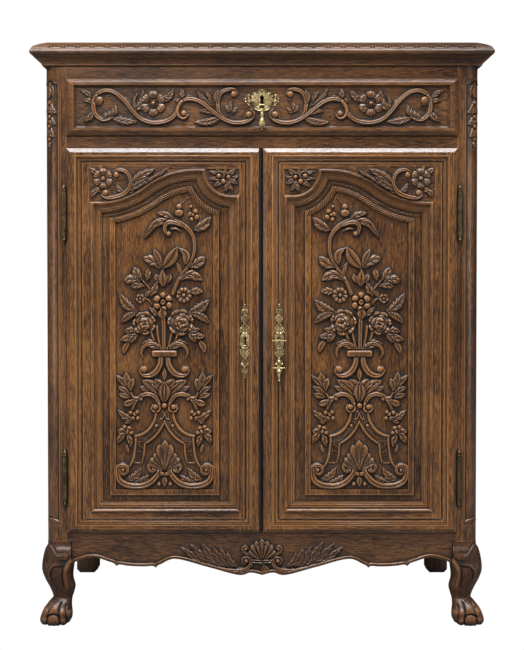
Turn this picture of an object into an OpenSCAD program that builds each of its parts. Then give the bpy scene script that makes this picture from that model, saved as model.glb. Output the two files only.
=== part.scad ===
// Carved oak cabinet with one drawer over two doors, in millimetres.
// Origin: centre of the footprint at floor level. The front faces -Y and +Z is up.

/* [Case] */
// Width of the case over the corner posts
case_w = 1036; // [900:2:1200]
// Depth of the case from post face to back face
case_d = 490; // [420:2:560]
// Height of the apron's top edge above the leg blocks
apron_over = 22; // [16:1:40]
// Height of the door opening
door_open_h = 921; // [820:1:1000]
// Height of the rail between the doors and the drawer
drawer_rail_h = 27; // [24:1:40]
// Height of the drawer opening
drawer_open_h = 139; // [125:1:170]
// Height of the visible frieze rail
frieze_h = 29; // [22:1:50]
// Height of the cornice moulding
cornice_h = 18; // [14:1:30]
// Thickness of the top board
top_t = 38; // [30:1:50]
// Overhang of the top board at the front and the sides
top_over = 30; // [26:1:45]

/* [Posts and rails] */
// Width of a front post
post_w = 51; // [46:1:60]
// Depth of a front post
post_d = 58; // [50:1:66]
// Radius of the rounded corner of a front post
post_r = 32; // [24:1:36]
// Depth of the sunk panel in the rounded corner
corner_sink = 3; // [1:0.5:5]
// Width of a back post
back_post_w = 58; // [50:1:64]
// Depth of a back post
back_post_d = 47; // [42:1:60]
// Thickness of the case rails
rail_t = 24; // [20:1:26]
// Height of the upper side rails
side_top_h = 90; // [70:1:120]
// Height of the lower side rails
side_low_h = 94; // [80:1:120]
// Thickness of the side panels
side_panel_t = 14; // [12:1:18]
// Width of the slope around a side panel
side_slope_w = 32; // [20:1:45]
// Height of the back rails
back_rail_h = 80; // [60:1:110]
// Thickness of the back boards
back_board_t = 14; // [10:1:18]
// Number of back boards
back_boards_n = 5; // [3:1:7]
// Thickness of the tenons in the case
tenon_t = 9; // [7:1:11]
// Length of the tenons in the case
tenon_l = 34; // [26:1:38]

/* [Legs] */
// Height of the leg block below the front post
leg_h = 196; // [188:1:205]
// Diameter of the round tenon that holds a leg
leg_tenon_d = 24; // [20:1:25]
// Length of the round tenon that holds a leg
leg_tenon_l = 42; // [30:1:60]
// Size of the bevel at the foot of a back post
back_foot_bevel = 9; // [4:1:14]

/* [Apron] */
// Width of the moulded edge of the apron
apron_bead_w = 8; // [5:1:11]
// How far the apron's edge moulding stands proud
apron_bead_h = 3; // [1:0.5:5]

/* [Doors] */
// Thickness of a door frame
door_t = 28; // [26:1:32]
// How far a door stands proud of the case
door_proud = 11; // [9:0.5:13]
// Gap around the doors
door_gap = 1.5; // [1:0.1:2.5]
// Gap between the two doors
meet_gap = 3; // [2:0.5:4]
// Width of the bevel around a door
door_bevel_w = 10; // [6:1:12]
// Width of the flat border with its bevel at the hinge side
border_hinge = 24.5; // [20:0.5:30]
// Width of the flat border with its bevel at the meeting side
border_meet = 26.5; // [24:0.5:30]
// Width of the flat border with its bevel at the top and the bottom
border_end = 21; // [18:0.5:26]
// Width of the hollow moulding inside the border
hollow_w = 14; // [12:0.5:18]
// Level of the flat band of the frame in front of the case
band_level = 7; // [5:0.5:8]
// Width of the band at the hinge side
band_hinge = 18.8; // [14:0.2:26]
// Width of the band at the meeting side
band_meet = 10.4; // [8:0.2:16]
// Width of the band at the bottom
band_foot = 14; // [10:0.5:24]
// Radius of the roll moulding at the panel
roll_r = 4.5; // [3:0.5:6]
// Width from the crest of the roll to the panel
ogee_w = 22; // [20:1:26]
// Thickness of the door tenons and of the panel's tongue
tongue_t = 8; // [6:0.5:9]
// Depth of the panel groove
groove_d = 8; // [6:0.5:9]
// Length of the door tenons
door_tenon_l = 38; // [28:1:44]
// Width of the stepped edge of the left door at the meeting line
step_w = 6; // [4:0.5:8]
// Depth of the stepped edge of the left door
step_d = 8; // [5:0.5:9]

/* [Arch of the doors] */
// Height of the arch's high crest below the door's top edge
arch_high = 53; // [48:0.5:64]
// Rise of the arch from the hinge side
arch_rise = 78; // [64:1:80]
// Length of the level start beside the hinge roll
arch_start = 11.3; // [8:0.1:30]
// Length of the level end before the cusp
arch_end = 20; // [19:0.5:26]
// Radius of the quarter circle at the meeting side
arch_quarter_r = 64.5; // [55:0.5:72]
// Distance of the quarter circle's centre from the meeting roll
arch_quarter_in = 17; // [12:0.5:24]
// Depth of the sunk ground in the quarter circle
quarter_sink = 2.5; // [1:0.5:4]

/* [Door panels] */
// Level of the panel's margin behind the case face
margin_level = 4; // [3:0.5:5]
// Width of the margin at the hinge side
margin_hinge = 19; // [14:1:24]
// Width of the margin at the meeting side
margin_meet = 24; // [16:1:28]
// Width of the margin at the foot
margin_foot = 15; // [12:1:22]
// Width of the margin under the arch
margin_arch = 14.5; // [12:0.5:20]
// Width of the raised lip
lip_w = 13; // [8:1:16]
// Height of the lip above the margin
lip_h = 7; // [5:0.5:8]
// Depth of the carved ground below the lip
ground_sink = 4.5; // [2:0.5:5]

/* [Hinges] */
// Radius of the hinge barrels
barrel_r = 5; // [4:0.5:6]
// Radius of the hinge pins
hinge_pin_r = 3; // [2.5:0.1:3.2]
// Running clearance around the hinge pins
hinge_clear = 0.05; // [0.03:0.01:0.08]
// Length of the plain barrel of a hinge
barrel_l = 99; // [80:1:120]
// Height of the upper hinges' centre above the floor
hinge_high = 982; // [900:1:1000]
// Height of the lower hinges' centre above the floor
hinge_low = 350; // [320:1:420]
// Thickness of the hinge leaves
leaf_t = 2; // [1.5:0.5:2.5]

/* [Brass plates] */
// Thickness of the escutcheons
plate_t = 1.6; // [1.2:0.2:2]
// Length of a door escutcheon
door_plate_l = 173; // [150:1:190]
// Height of the door keyholes above the floor
keyhole_z = 686; // [640:1:720]
// Height of the drawer keyhole above the drawer opening's floor
drawer_keyhole_up = 90; // [80:1:98]
// Width of the drawer escutcheon
drawer_plate_w = 82; // [70:1:90]
// Radius of the round part of the keyholes
keyhole_r = 4.3; // [3.5:0.1:5]

/* [Pulls] */
// Radius of the pivot pins of the pulls
pivot_r = 1.2; // [1:0.1:1.5]
// Running clearance of the pulls on their pins
pivot_clear = 0.05; // [0.03:0.01:0.08]
// Distance of the drawer pull's pivot in front of the case
drawer_pivot_out = 20.5; // [20:0.5:24]
// Length of the drawer pull below its pivot
drawer_pull_l = 47; // [40:1:52]
// Radius of the drawer pull's bulb
bulb_r = 7.8; // [6:0.2:8]
// Distance of the door pull's pivot in front of the case
door_pivot_out = 18; // [16.5:0.5:22]
// Length of the door pull below its pivot
door_pull_l = 96; // [80:1:105]
// Length of the bar that carries the door pull
pull_bar_l = 29; // [24:1:32]

/* [Drawer] */
// Thickness of the drawer front behind the case face
drawer_front_in = 13; // [12:1:15]
// Gap beside the drawer front
drawer_gap = 1; // [0.6:0.1:2]
// Level of the drawer's carved ground in front of the case
drawer_ground = 3; // [2:0.5:4]
// Width of the drawer front's flat border
drawer_border = 16; // [14:1:20]
// Width of the moulding inside that border
drawer_step = 6; // [4:1:8]
// Thickness of the drawer sides
drawer_side_t = 12; // [10:1:14]
// Height of the drawer sides
drawer_side_h = 118; // [90:1:122]
// Free space behind the drawer
drawer_back_gap = 20; // [10:1:60]
// Thickness of the drawer bottom
drawer_bottom_t = 8; // [6:1:10]

/* [Inside] */
// Thickness of the bottom boards
bottom_t = 16; // [14:1:20]
// Thickness of the shelves
shelf_t = 18; // [14:1:22]
// Height of the lower shelf's top above the floor
shelf_low_z = 535; // [450:1:560]
// Height of the upper shelf's top above the floor
shelf_high_z = 840; // [800:1:900]
// Side of the square cleats under the shelves
cleat = 20; // [16:1:24]
// Thickness of the dust board
dust_t = 12; // [10:1:13]

/* [Locks and bolts] */
// Radius of the flush bolts
flush_bolt_r = 3.5; // [3:0.5:4]
// Travel of the flush bolts
flush_throw = 14; // [10:1:16]
// Travel of the door lock's bolt
lock_throw = 10; // [8:1:12]
// Travel of the drawer lock's bolt
drawer_throw = 8; // [6:1:9]

/* [Hidden] */
$fn = 64;

// Colours, as the photo shows them
oak = [0.36, 0.21, 0.12];
oak_dark = [0.20, 0.12, 0.08];
oak_door = [0.42, 0.25, 0.13];
oak_inside = [0.50, 0.37, 0.23];
brass = [0.62, 0.52, 0.28];
iron = [0.25, 0.24, 0.23];

// Levels of the case
depth = case_d + top_over;
front_y = top_over - depth / 2;
back_y = depth / 2;
apron_top = leg_h + apron_over;
rail_z = apron_top + door_open_h;
drawer_z = rail_z + drawer_rail_h;
frieze_z = drawer_z + drawer_open_h;
cornice_z = frieze_z + frieze_h;
case_z = cornice_z + cornice_h;
height = case_z + top_t;
play = 0.1;                       // play around tenons, tongues and let-in plates
eps = 1;                          // overshoot of a cutting shape

// Widths and depths of the case
half_w = case_w / 2;
open_w = half_w - post_w;         // half the opening between the front posts
post_back_y = front_y + post_d;
back_in_x = half_w - back_post_w; // inner face of a back post
back_post_y = back_y - back_post_d;
side_in = 2;                      // side rails stand this far inside the posts' outer faces
side_out_x = half_w - side_in;
side_in_x = side_out_x - rail_t;
rail_back_y = front_y + rail_t;
board_y = back_y - back_board_t;
back_rail_y = board_y - rail_t;
drawer_l = back_rail_y - front_y - drawer_back_gap; // the drawer behind the case face

// Door places, for the left door; the right door is its mirror image
hinge_x = door_gap - open_w;
meet_x = -meet_gap / 2;
door_z0 = apron_top + door_gap;
door_z1 = rail_z - door_gap;
door_back = door_proud - door_t;
bevel_low = 4;                    // the door's edge stands this far in front of the case
hollow_low = 4.5;                 // lowest level of the hollow moulding
crest_hx = hinge_x + border_hinge + hollow_w + band_hinge + roll_r;
crest_mx = meet_x - border_meet - hollow_w - band_meet - roll_r;
crest_bz = door_z0 + border_end + hollow_w + band_foot + roll_r;
crest_tz = door_z1 - arch_high;
crest_lz = crest_tz - arch_rise;
quarter_x = crest_mx - arch_quarter_in;
quarter_z = crest_tz + 1.5;
// Two equal arcs make the ogee. They turn by the angle that its run and rise give
ogee_x0 = crest_hx + arch_start;
ogee_x1 = quarter_x - arch_quarter_r - arch_end;
ogee_a = 2 * atan(arch_rise / (ogee_x1 - ogee_x0));
ogee_r = (ogee_x1 - ogee_x0) / 2 / sin(ogee_a);
quarter_foot_z = quarter_z - arch_quarter_r;
groove_h1 = -margin_level;
groove_h0 = groove_h1 - tongue_t;
sight = ogee_w;                   // offset of the frame's visible inner edge from the roll's crest
lip_out = sight + margin_arch;    // offset of the lip's outer edge under the arch

// Hinge axis, for the left side
axis_x = -(open_w + 4);
axis_out = barrel_r + 0.4;        // distance of the axis in front of the case
axis_y = front_y - axis_out;

// Plates
meet_plate_x = meet_x - border_meet - 12.5;
drawer_keyhole_z = drawer_z + drawer_keyhole_up;

function arc(cx, cy, r, a0, a1, n) =
    [for (i = [0:n]) let (a = a0 + (a1 - a0) * i / n) [cx + r * cos(a), cy + r * sin(a)]];
function reversed(list) = [for (i = [len(list) - 1:-1:0]) list[i]];
function mirrored(list) = [for (p = reversed(list)) [-p[0], p[1]]];

// A smooth curve through points, with n steps between neighbours
function blend(a, b, c, d, t) = 0.5 * ((2 * b) + (c - a) * t + (2 * a - 5 * b + 4 * c - d) * t * t
    + (3 * b - a - 3 * c + d) * t * t * t);
function curve(pts, n) = let (last = len(pts) - 1) concat(
    [for (i = [0:last - 1]) for (k = [0:n - 1])
        blend(pts[max(i - 1, 0)], pts[i], pts[i + 1], pts[min(i + 2, last)], k / n)],
    [pts[last]]);

// Coordinates on the front: x, height z, and h measured forward from the case face
module on_front() translate([0, front_y, 0]) rotate([90, 0, 0]) children();
module slab(x0, x1, z0, z1, h0, h1) translate([x0, z0, h0]) cube([x1 - x0, z1 - z0, h1 - h0]);
// Profiles in (x, h), run along z
module run_up(z0, z1) translate([0, z1, 0]) rotate([90, 0, 0]) linear_extrude(z1 - z0) children();
// Profiles in (z, h), run along x
module run_across(x0, x1) translate([x0, 0, 0]) rotate([90, 0, 90]) linear_extrude(x1 - x0) children();
module level(h0, h1) translate([0, 0, h0]) linear_extrude(h1 - h0) children();
module block(x0, x1, y0, y1, z0, z1) translate([x0, y0, z0]) cube([x1 - x0, y1 - y0, z1 - z0]);
module right_side() mirror([1, 0, 0]) children();

// Top board, with its moulded edge on the front and the sides
nose_r = 8;                       // radius of the edge's bullnose
nose_z = top_t * 11 / 38;         // its centre above the board's underside
slope_w = 36;                     // width of the carved slope above it
function edge_profile() = concat([[nose_r, 0]], arc(nose_r, nose_z, nose_r, 270, 130, 8),
    [for (p = [[0.12, 0.37], [0.28, 0.56], [0.56, 0.76], [1, 1]])
        [slope_w * p[0], nose_z + (top_t - nose_z) * p[1]]]);
function edge_at(place, dir) = [for (p = edge_profile()) [place + dir * p[0], case_z + p[1]]];

module top_board() color(oak) intersection() {
    run_along_x(-half_w - top_over, half_w + top_over)
        polygon(concat(edge_at(front_y - top_over, 1), [[back_y, height], [back_y, case_z]]));
    run_along_y(front_y - top_over, back_y)
        polygon(concat(edge_at(-half_w - top_over, 1), reversed(edge_at(half_w + top_over, -1))));
}

// Profiles in (y, z) run along x, and in (x, z) run along y
module run_along_x(x0, x1) translate([x0, 0, 0]) rotate([90, 0, 90]) linear_extrude(x1 - x0) children();
module run_along_y(y0, y1) translate([0, y1, 0]) rotate([90, 0, 0]) linear_extrude(y1 - y0) children();

// Cornice: a cove between two fillets, mitred at the corners
cornice_out = top_over - 12;      // how far the cornice stands out
cornice_foot = 5;                 // width of its lower fillet
cornice_fillet = 4;               // height of its lower fillet
function cove_profile() = let (cx = cornice_out - 2, a = cx - cornice_foot - 1,
    b = cornice_h - cornice_fillet - 3) concat([[0, 0], [cornice_foot, 0], [cornice_foot, cornice_fillet]],
        [for (t = [0:10:90]) [cx - a * cos(t), cornice_fillet + b * sin(t)]],
        [[cornice_out, cornice_h - 3], [cornice_out, cornice_h], [0, cornice_h]]);

module cornice_front() color(oak) intersection() {
    run_along_x(-half_w - cornice_out, half_w + cornice_out)
        polygon([for (p = cove_profile()) [front_y - p[0], cornice_z + p[1]]]);
    linear_extrude(height) polygon([[-half_w, front_y], [-half_w - top_over, front_y - top_over],
        [half_w + top_over, front_y - top_over], [half_w, front_y]]);
}
module cornice_left() color(oak) intersection() {
    run_along_y(front_y - cornice_out, back_y)
        polygon([for (p = cove_profile()) [-half_w - p[0], cornice_z + p[1]]]);
    linear_extrude(height) polygon([[-half_w, front_y], [-half_w - top_over, front_y - top_over],
        [-half_w - top_over, back_y], [-half_w, back_y]]);
}
module cornice_right() right_side() cornice_left();

// Tenons, mortises and grooves of the case
rail_tenon_y = front_y + (rail_t - tenon_t) / 2;
side_tenon_x = -side_out_x + (rail_t - tenon_t) / 2;
tenon_in = 8;                     // a tenon is this much lower than its rail at each edge
groove_in = 8;                    // depth of the grooves for the side panels
tongue_x = -side_out_x + 4;       // outer face of the side panels' tongues
side_tongue_t = 8;
back_tenon_y = back_rail_y + (rail_t - tenon_t) / 2;

// A tenon of a front rail at the left end; grow makes it the mortise
module rail_tenon(z0, z1, grow = 0) block(-open_w - tenon_l - grow, -open_w + eps,
    rail_tenon_y - grow, rail_tenon_y + tenon_t + grow, z0 - grow, z1 + grow);
module both_sides() { children(); right_side() children(); }
module frieze_tenon(grow = 0) rail_tenon(frieze_z + tenon_in, case_z - tenon_in, grow);
module drawer_rail_tenon(grow = 0) rail_tenon(rail_z + tenon_in / 2, drawer_z - tenon_in / 2, grow);
module apron_tenon(grow = 0) rail_tenon(leg_h + 3, apron_top - 3, grow);
module side_tenon(y0, y1, z0, z1, grow) block(side_tenon_x - grow, side_tenon_x + tenon_t + grow, y0, y1,
    z0 + tenon_in - grow, z1 - tenon_in + grow);
module side_tenons(z0, z1, grow = 0) {
    side_tenon(post_back_y - tenon_l - grow, post_back_y + eps, z0, z1, grow);
    side_tenon(back_post_y - eps, back_post_y + tenon_l + grow, z0, z1, grow);
}
module side_top_tenons(grow = 0) side_tenons(case_z - side_top_h, case_z, grow);
module side_low_tenons(grow = 0) side_tenons(leg_h, leg_h + side_low_h, grow);
module back_tenon(z0, z1, grow = 0) block(-back_in_x - tenon_l - grow, -back_in_x + eps,
    back_tenon_y - grow, back_tenon_y + tenon_t + grow, z0 + tenon_in - grow, z1 - tenon_in + grow);
module back_tenons(grow = 0) {
    back_tenon(leg_h, leg_h + back_rail_h, grow);
    back_tenon(case_z - back_rail_h, case_z, grow);
}
module side_tongue(grow = 0) block(tongue_x - grow, tongue_x + side_tongue_t + grow,
    post_back_y - groove_in + play - grow, back_post_y + groove_in - play + grow,
    leg_h + side_low_h - groove_in + play - grow, case_z - side_top_h + groove_in - play + grow);

module frieze_rail() color(oak) difference() {
    union() {
        block(-open_w, open_w, front_y, rail_back_y, frieze_z, case_z);
        both_sides() frieze_tenon();
    }
    drawer_bolt(frieze_z - eps, frieze_z + drawer_throw + 3, 0.5);
}
module drawer_rail() color(oak) difference() {
    union() {
        block(-open_w, open_w, front_y, rail_back_y, rail_z, drawer_z);
        both_sides() drawer_rail_tenon();
    }
    on_front() flush_rod(rail_z - eps, rail_z + flush_throw + 2, 0.4);
}

// Apron. Its lower edge, from the leg to the middle: share of the half width, drop below the top edge
apron_end_x = open_w - 11.2;      // it meets the leg block here, below the post
apron_points = [[1, 79], [0.974, 66], [0.879, 57], [0.763, 73], [0.654, 78.5], [0.548, 76],
    [0.456, 60.5], [0.285, 80], [0.125, 99], [0.059, 93.5], [0, 99]];
apron_half = curve([for (p = apron_points) [-apron_end_x * p[0], apron_top - p[1]]], 6);
apron_edge = concat(apron_half, [for (i = [1:len(apron_half) - 1]) mirrored(apron_half)[i]]);
function edge_normal(list, i) = let (a = list[max(i - 1, 0)], b = list[min(i + 1, len(list) - 1)],
    d = (b - a) / norm(b - a)) [-d[1], d[0]];
apron_bead_in = [for (i = [0:len(apron_edge) - 1]) apron_edge[i] + apron_bead_w * edge_normal(apron_edge, i)];

module apron() color(oak_dark) difference() {
    union() {
        on_front() {
            level(-rail_t, 0) polygon(concat(apron_edge, [[apron_end_x, leg_h], [open_w, leg_h],
                [open_w, apron_top], [-open_w, apron_top], [-open_w, leg_h], [-apron_end_x, leg_h]]));
            level(-1, apron_bead_h) intersection() {
                polygon(concat(apron_edge, reversed(apron_bead_in)));
                translate([-apron_end_x, 0]) square([2 * apron_end_x, apron_top]);
            }
        }
        both_sides() apron_tenon();
    }
    on_front() flush_rod(apron_top - flush_throw - 2, apron_top + eps, 0.4);
}

// Front posts
leg_x = -open_w - leg_tenon_d / 2 - 2;
leg_y = front_y + post_d / 2;
corner_x = -half_w + post_r;      // centre of the rounded corner
corner_y = front_y + post_r;
corner_z0 = apron_top + 19;       // the sunk corner panel runs from here to the frieze

module post_plan() {
    translate([corner_x, front_y]) square([post_w - post_r, post_d]);
    translate([-half_w, corner_y]) square([post_w, post_d - post_r]);
    intersection() {
        translate([corner_x, corner_y]) circle(post_r);
        translate([-half_w, front_y]) square(post_r);
    }
}
module post_front_left() color(oak) difference() {
    union() {
        translate([0, 0, leg_h]) linear_extrude(cornice_z - leg_h) post_plan();
        block(-half_w, -open_w, front_y, post_back_y, cornice_z, case_z);
    }
    intersection() {
        translate([0, 0, corner_z0]) linear_extrude(frieze_z - corner_z0) difference() {
            translate([corner_x, corner_y]) circle(post_r + 2);
            translate([corner_x, corner_y]) circle(post_r - corner_sink);
        }
        block(-half_w - eps, corner_x + 2, front_y - eps, corner_y, 0, height);
    }
    frieze_tenon(play);
    drawer_rail_tenon(play);
    apron_tenon(play);
    side_top_tenons(play);
    side_low_tenons(play);
    side_tongue(play);
    translate([leg_x, leg_y, leg_h - eps]) cylinder(d = leg_tenon_d + 2 * play, h = leg_tenon_l + play + eps);
    for (z = [hinge_low, hinge_high]) fixed_leaf(z, play);
}
module post_front_right() right_side() post_front_left();

// Cabriole legs. Stations from the top down: height, outer and inner x, front and back y, squareness
leg_stations = [
    [leg_h, half_w, half_w - 60, front_y, post_back_y, 6],
    [leg_h - 8, half_w, half_w - 61, front_y - 2, post_back_y - 1, 6],
    [175, half_w + 6, half_w - 62, front_y - 8, post_back_y - 2, 5.5],
    [152, half_w + 11, half_w - 62, front_y - 13, post_back_y - 4, 5],
    [128, half_w + 12, half_w - 62, front_y - 15, post_back_y - 8, 4],
    [107, half_w + 5, half_w - 62, front_y - 11, post_back_y - 14, 3.2],
    [86, half_w - 5, half_w - 67, front_y - 4, post_back_y - 16, 2.8],
    [68, half_w - 12, half_w - 63, front_y + 2, post_back_y - 17, 2.5],
    [59, half_w - 13, half_w - 60, front_y + 2, post_back_y - 17, 2.4],
    [50, half_w - 5, half_w - 59, front_y - 9, post_back_y - 15, 2.3],
    [38, half_w + 4, half_w - 59, front_y - 19, post_back_y - 12, 2.4],
    [26, half_w + 11, half_w - 60, front_y - 23, post_back_y - 10, 2.6],
    [12, half_w + 16, half_w - 60, front_y - 26, post_back_y - 10, 2.8],
    [4, half_w + 16, half_w - 56, front_y - 25, post_back_y - 12, 2.8],
    [0, half_w + 12, half_w - 52, front_y - 21, post_back_y - 16, 2.6]];
leg_sides = 32;
leg_rings = curve(leg_stations, 3);
toe_top = 44;                     // the toes swell below this height
function power(v, e) = sign(v) * pow(abs(v), 2 / e);
function toe_swell(z, a) = z > toe_top || a < 170 ? 0 :
    2.2 * sin(180 * z / toe_top) * cos((a - 170) * 360 / 47);
function leg_point(s, a) = let (round_corner = a > 180 && a < 270, e = round_corner ? 2.1 : s[5],
    cx = -(s[1] + s[2]) / 2, cy = (s[3] + s[4]) / 2, swell = toe_swell(s[0], a))
    [cx + ((s[1] - s[2]) / 2 + swell) * power(cos(a), e),
    cy + ((s[4] - s[3]) / 2 + swell) * power(sin(a), e), s[0]];
leg_points = [for (s = leg_rings) for (k = [0:leg_sides - 1]) leg_point(s, 360 * (k + 0.5) / leg_sides)];
leg_faces = let (n = leg_sides, m = len(leg_rings)) concat(
    [for (i = [0:m - 2]) for (k = [0:n - 1]) for (f = [0, 1]) let (j = (k + 1) % n)
        f == 0 ? [i * n + k, i * n + j, (i + 1) * n + k] : [i * n + j, (i + 1) * n + j, (i + 1) * n + k]],
    [[for (k = [n - 1:-1:0]) k], [for (k = [0:n - 1]) (m - 1) * n + k]]);

module leg_front_left() color(oak_dark) {
    polyhedron(leg_points, leg_faces);
    translate([leg_x, leg_y, leg_h - 10]) cylinder(d = leg_tenon_d, h = leg_tenon_l + 10);
}
module leg_front_right() right_side() leg_front_left();

// Back posts, which run to the floor as the back legs
module post_back_left() color(oak_dark) difference() {
    intersection() {
        block(-half_w, -back_in_x, back_post_y, back_y, 0, case_z);
        run_along_y(back_post_y, back_y) polygon([[-half_w, case_z], [-half_w, back_foot_bevel],
            [-half_w + back_foot_bevel, 0], [-back_in_x - back_foot_bevel, 0],
            [-back_in_x, back_foot_bevel], [-back_in_x, case_z]]);
    }
    side_top_tenons(play);
    side_low_tenons(play);
    side_tongue(play);
    back_tenons(play);
}
module post_back_right() right_side() post_back_left();

// Sides
module side_top_rail_left() color(oak) difference() {
    union() {
        block(-side_out_x, -side_in_x, post_back_y, back_post_y, case_z - side_top_h, case_z);
        side_top_tenons();
    }
    side_tongue(play);
}
module side_top_rail_right() right_side() side_top_rail_left();
module side_bottom_rail_left() color(oak) difference() {
    union() {
        block(-side_out_x, -side_in_x, post_back_y, back_post_y, leg_h, leg_h + side_low_h);
        side_low_tenons();
    }
    side_tongue(play);
}
module side_bottom_rail_right() right_side() side_bottom_rail_left();

// The field rises from the tongue to its full thickness over a slope on all four edges
side_field_x = tongue_x + side_tongue_t - side_panel_t;
module side_panel_left() color(oak) {
    y0 = post_back_y;
    y1 = back_post_y;
    z0 = leg_h + side_low_h;
    z1 = case_z - side_top_h;
    w = side_slope_w;
    side_tongue();
    intersection() {
        run_along_y(y0 + play, y1 - play) polygon([[tongue_x + 1, z0 + play], [tongue_x, z0 + play],
            [side_field_x, z0 + w], [side_field_x, z1 - w], [tongue_x, z1 - play], [tongue_x + 1, z1 - play]]);
        linear_extrude(height) polygon([[tongue_x + 1, y0 + play], [tongue_x, y0 + play],
            [side_field_x, y0 + w], [side_field_x, y1 - w], [tongue_x, y1 - play], [tongue_x + 1, y1 - play]]);
    }
}
module side_panel_right() right_side() side_panel_left();

// Back
module back_rails() color(oak_inside) {
    for (z = [leg_h, case_z - back_rail_h])
        block(-back_in_x, back_in_x, back_rail_y, board_y, z, z + back_rail_h);
    both_sides() back_tenons();
}
board_gap = 1;
module back_boards() color(oak_inside) {
    pitch = 2 * back_in_x / back_boards_n;
    for (i = [0:back_boards_n - 1]) let (x = -back_in_x + i * pitch)
        block(x + (i == 0 ? 0 : board_gap), x + pitch, board_y, back_y, leg_h, case_z);
}

// A board between the sides, notched around the posts where it reaches them
inner_gap = 0.5;
module notched_board(y0, y1, z0, z1) difference() {
    block(-side_in_x + inner_gap, side_in_x - inner_gap, y0, y1, z0, z1);
    both_sides() {
        block(-side_in_x - eps, -open_w + inner_gap, front_y - eps, post_back_y + inner_gap,
            z0 - eps, z1 + eps);
        block(-side_in_x - eps, -back_in_x + inner_gap, back_post_y - inner_gap, back_y,
            z0 - eps, z1 + eps);
    }
}
stop_y = front_y - door_back + 0.3;        // the closed doors rest against the bottom boards' edge
shelf_y = front_y - door_back + 19;        // the shelves stay clear of the locks
shelf_back_y = back_rail_y - inner_gap;
bottom_boards_n = 3;
module bottom_boards() color(oak_inside) {
    pitch = (shelf_back_y - stop_y) / bottom_boards_n;
    for (i = [0:bottom_boards_n - 1])
        notched_board(stop_y + i * pitch + (i == 0 ? 0 : board_gap), stop_y + (i + 1) * pitch,
            apron_top, apron_top + bottom_t);
}
module shelf(z) color(oak_inside) notched_board(shelf_y, shelf_back_y, z - shelf_t, z);
module shelf_lower() shelf(shelf_low_z);
module shelf_upper() shelf(shelf_high_z);

// Runner, dust board and cleats
runner_h = 13;
guide_h = 12;                     // the guides beside the drawer rise this far above the runners
runner_in_x = open_w - 27;
dust_z = drawer_z - runner_h - dust_t;
module dust_board() color(oak_inside) notched_board(rail_back_y, back_post_y, dust_z, dust_z + dust_t);
module shelf_cleats() color(oak_inside) both_sides()
    for (z = [apron_top, shelf_low_z - shelf_t, shelf_high_z - shelf_t, dust_z])
        block(-side_in_x, -side_in_x + cleat, post_back_y, back_post_y, z - cleat, z);
drawer_side_x = open_w - drawer_gap - 2.5;  // outer face of the drawer's sides
module drawer_runners() color(oak_inside) both_sides() {
    block(-open_w + inner_gap, -runner_in_x, rail_back_y, back_post_y, drawer_z - runner_h, drawer_z);
    block(-side_in_x + inner_gap, -open_w + inner_gap, post_back_y, back_post_y,
        drawer_z - runner_h, drawer_z + guide_h);
}
drawer_low = drawer_z + 0.3;                // the drawer's sides slide this high
kicker_z = drawer_low + drawer_side_h + 2;
module drawer_kickers() color(oak_inside) both_sides()
    block(-open_w + inner_gap, -runner_in_x, rail_back_y, back_post_y, kicker_z, frieze_z + 24);
stop_x = open_w - 150;
module drawer_stops() color(oak_inside) both_sides()
    block(-stop_x - 20, -stop_x + 20, front_y + drawer_front_in + 0.3, rail_back_y, drawer_z, drawer_z + 7);

// Hinges. The lower half with its pin stays on the post, the upper half turns with the door
half_barrel = barrel_l / 2 - 0.25;
pin_reach = 38;
finial_plan = [[0, 0], [barrel_r, 0], [barrel_r, 1.6], [barrel_r - 1.8, 2.4], [barrel_r - 1.8, 3.6],
    [barrel_r - 0.3, 5], [barrel_r - 0.3, 6.4], [barrel_r - 2, 7.6], [barrel_r - 2, 8.8],
    [barrel_r - 1, 10.4], [barrel_r - 0.6, 12.2], [barrel_r - 1.4, 14.6], [barrel_r - 2.8, 16.6],
    [barrel_r - 3.6, 19], [barrel_r - 3.4, 20.4], [0, 22]];
module finial(dir) rotate_extrude() polygon([for (p = finial_plan) [p[0], dir * p[1]]]);
module fixed_leaf(z, grow = 0) block(axis_x - leaf_t / 2 - grow, axis_x + leaf_t / 2 + grow,
    axis_y + (grow > 0 ? 0 : barrel_r / 2), front_y + 22 + grow, z - half_barrel + 8 - grow, z - 10 + grow);
module hinge_pins_left() color(brass) for (z = [hinge_low, hinge_high]) {
    translate([axis_x, axis_y, z - 0.25 - half_barrel]) {
        cylinder(r = barrel_r, h = half_barrel);
        cylinder(r = hinge_pin_r, h = half_barrel + pin_reach);
        finial(-1);
    }
    fixed_leaf(z);
}
module hinge_pins_right() right_side() hinge_pins_left();
module door_leaf(z, grow = 0) block(axis_x, axis_x + 26 + grow, front_y - 0.4 - leaf_t - grow,
    front_y - 0.4 + grow, z + 10 - grow, z + half_barrel - 8 + grow);
module door_left_hinge_barrels() color(brass) for (z = [hinge_low, hinge_high]) difference() {
    union() {
        translate([axis_x, axis_y, z + 0.25]) cylinder(r = barrel_r, h = half_barrel);
        translate([axis_x, axis_y, z + 0.25 + half_barrel]) finial(1);
        door_leaf(z);
    }
    translate([axis_x, axis_y, z - eps]) cylinder(r = hinge_pin_r + hinge_clear, h = pin_reach + eps + 1);
}
module door_right_hinge_barrels() right_side() door_left_hinge_barrels();

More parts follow.
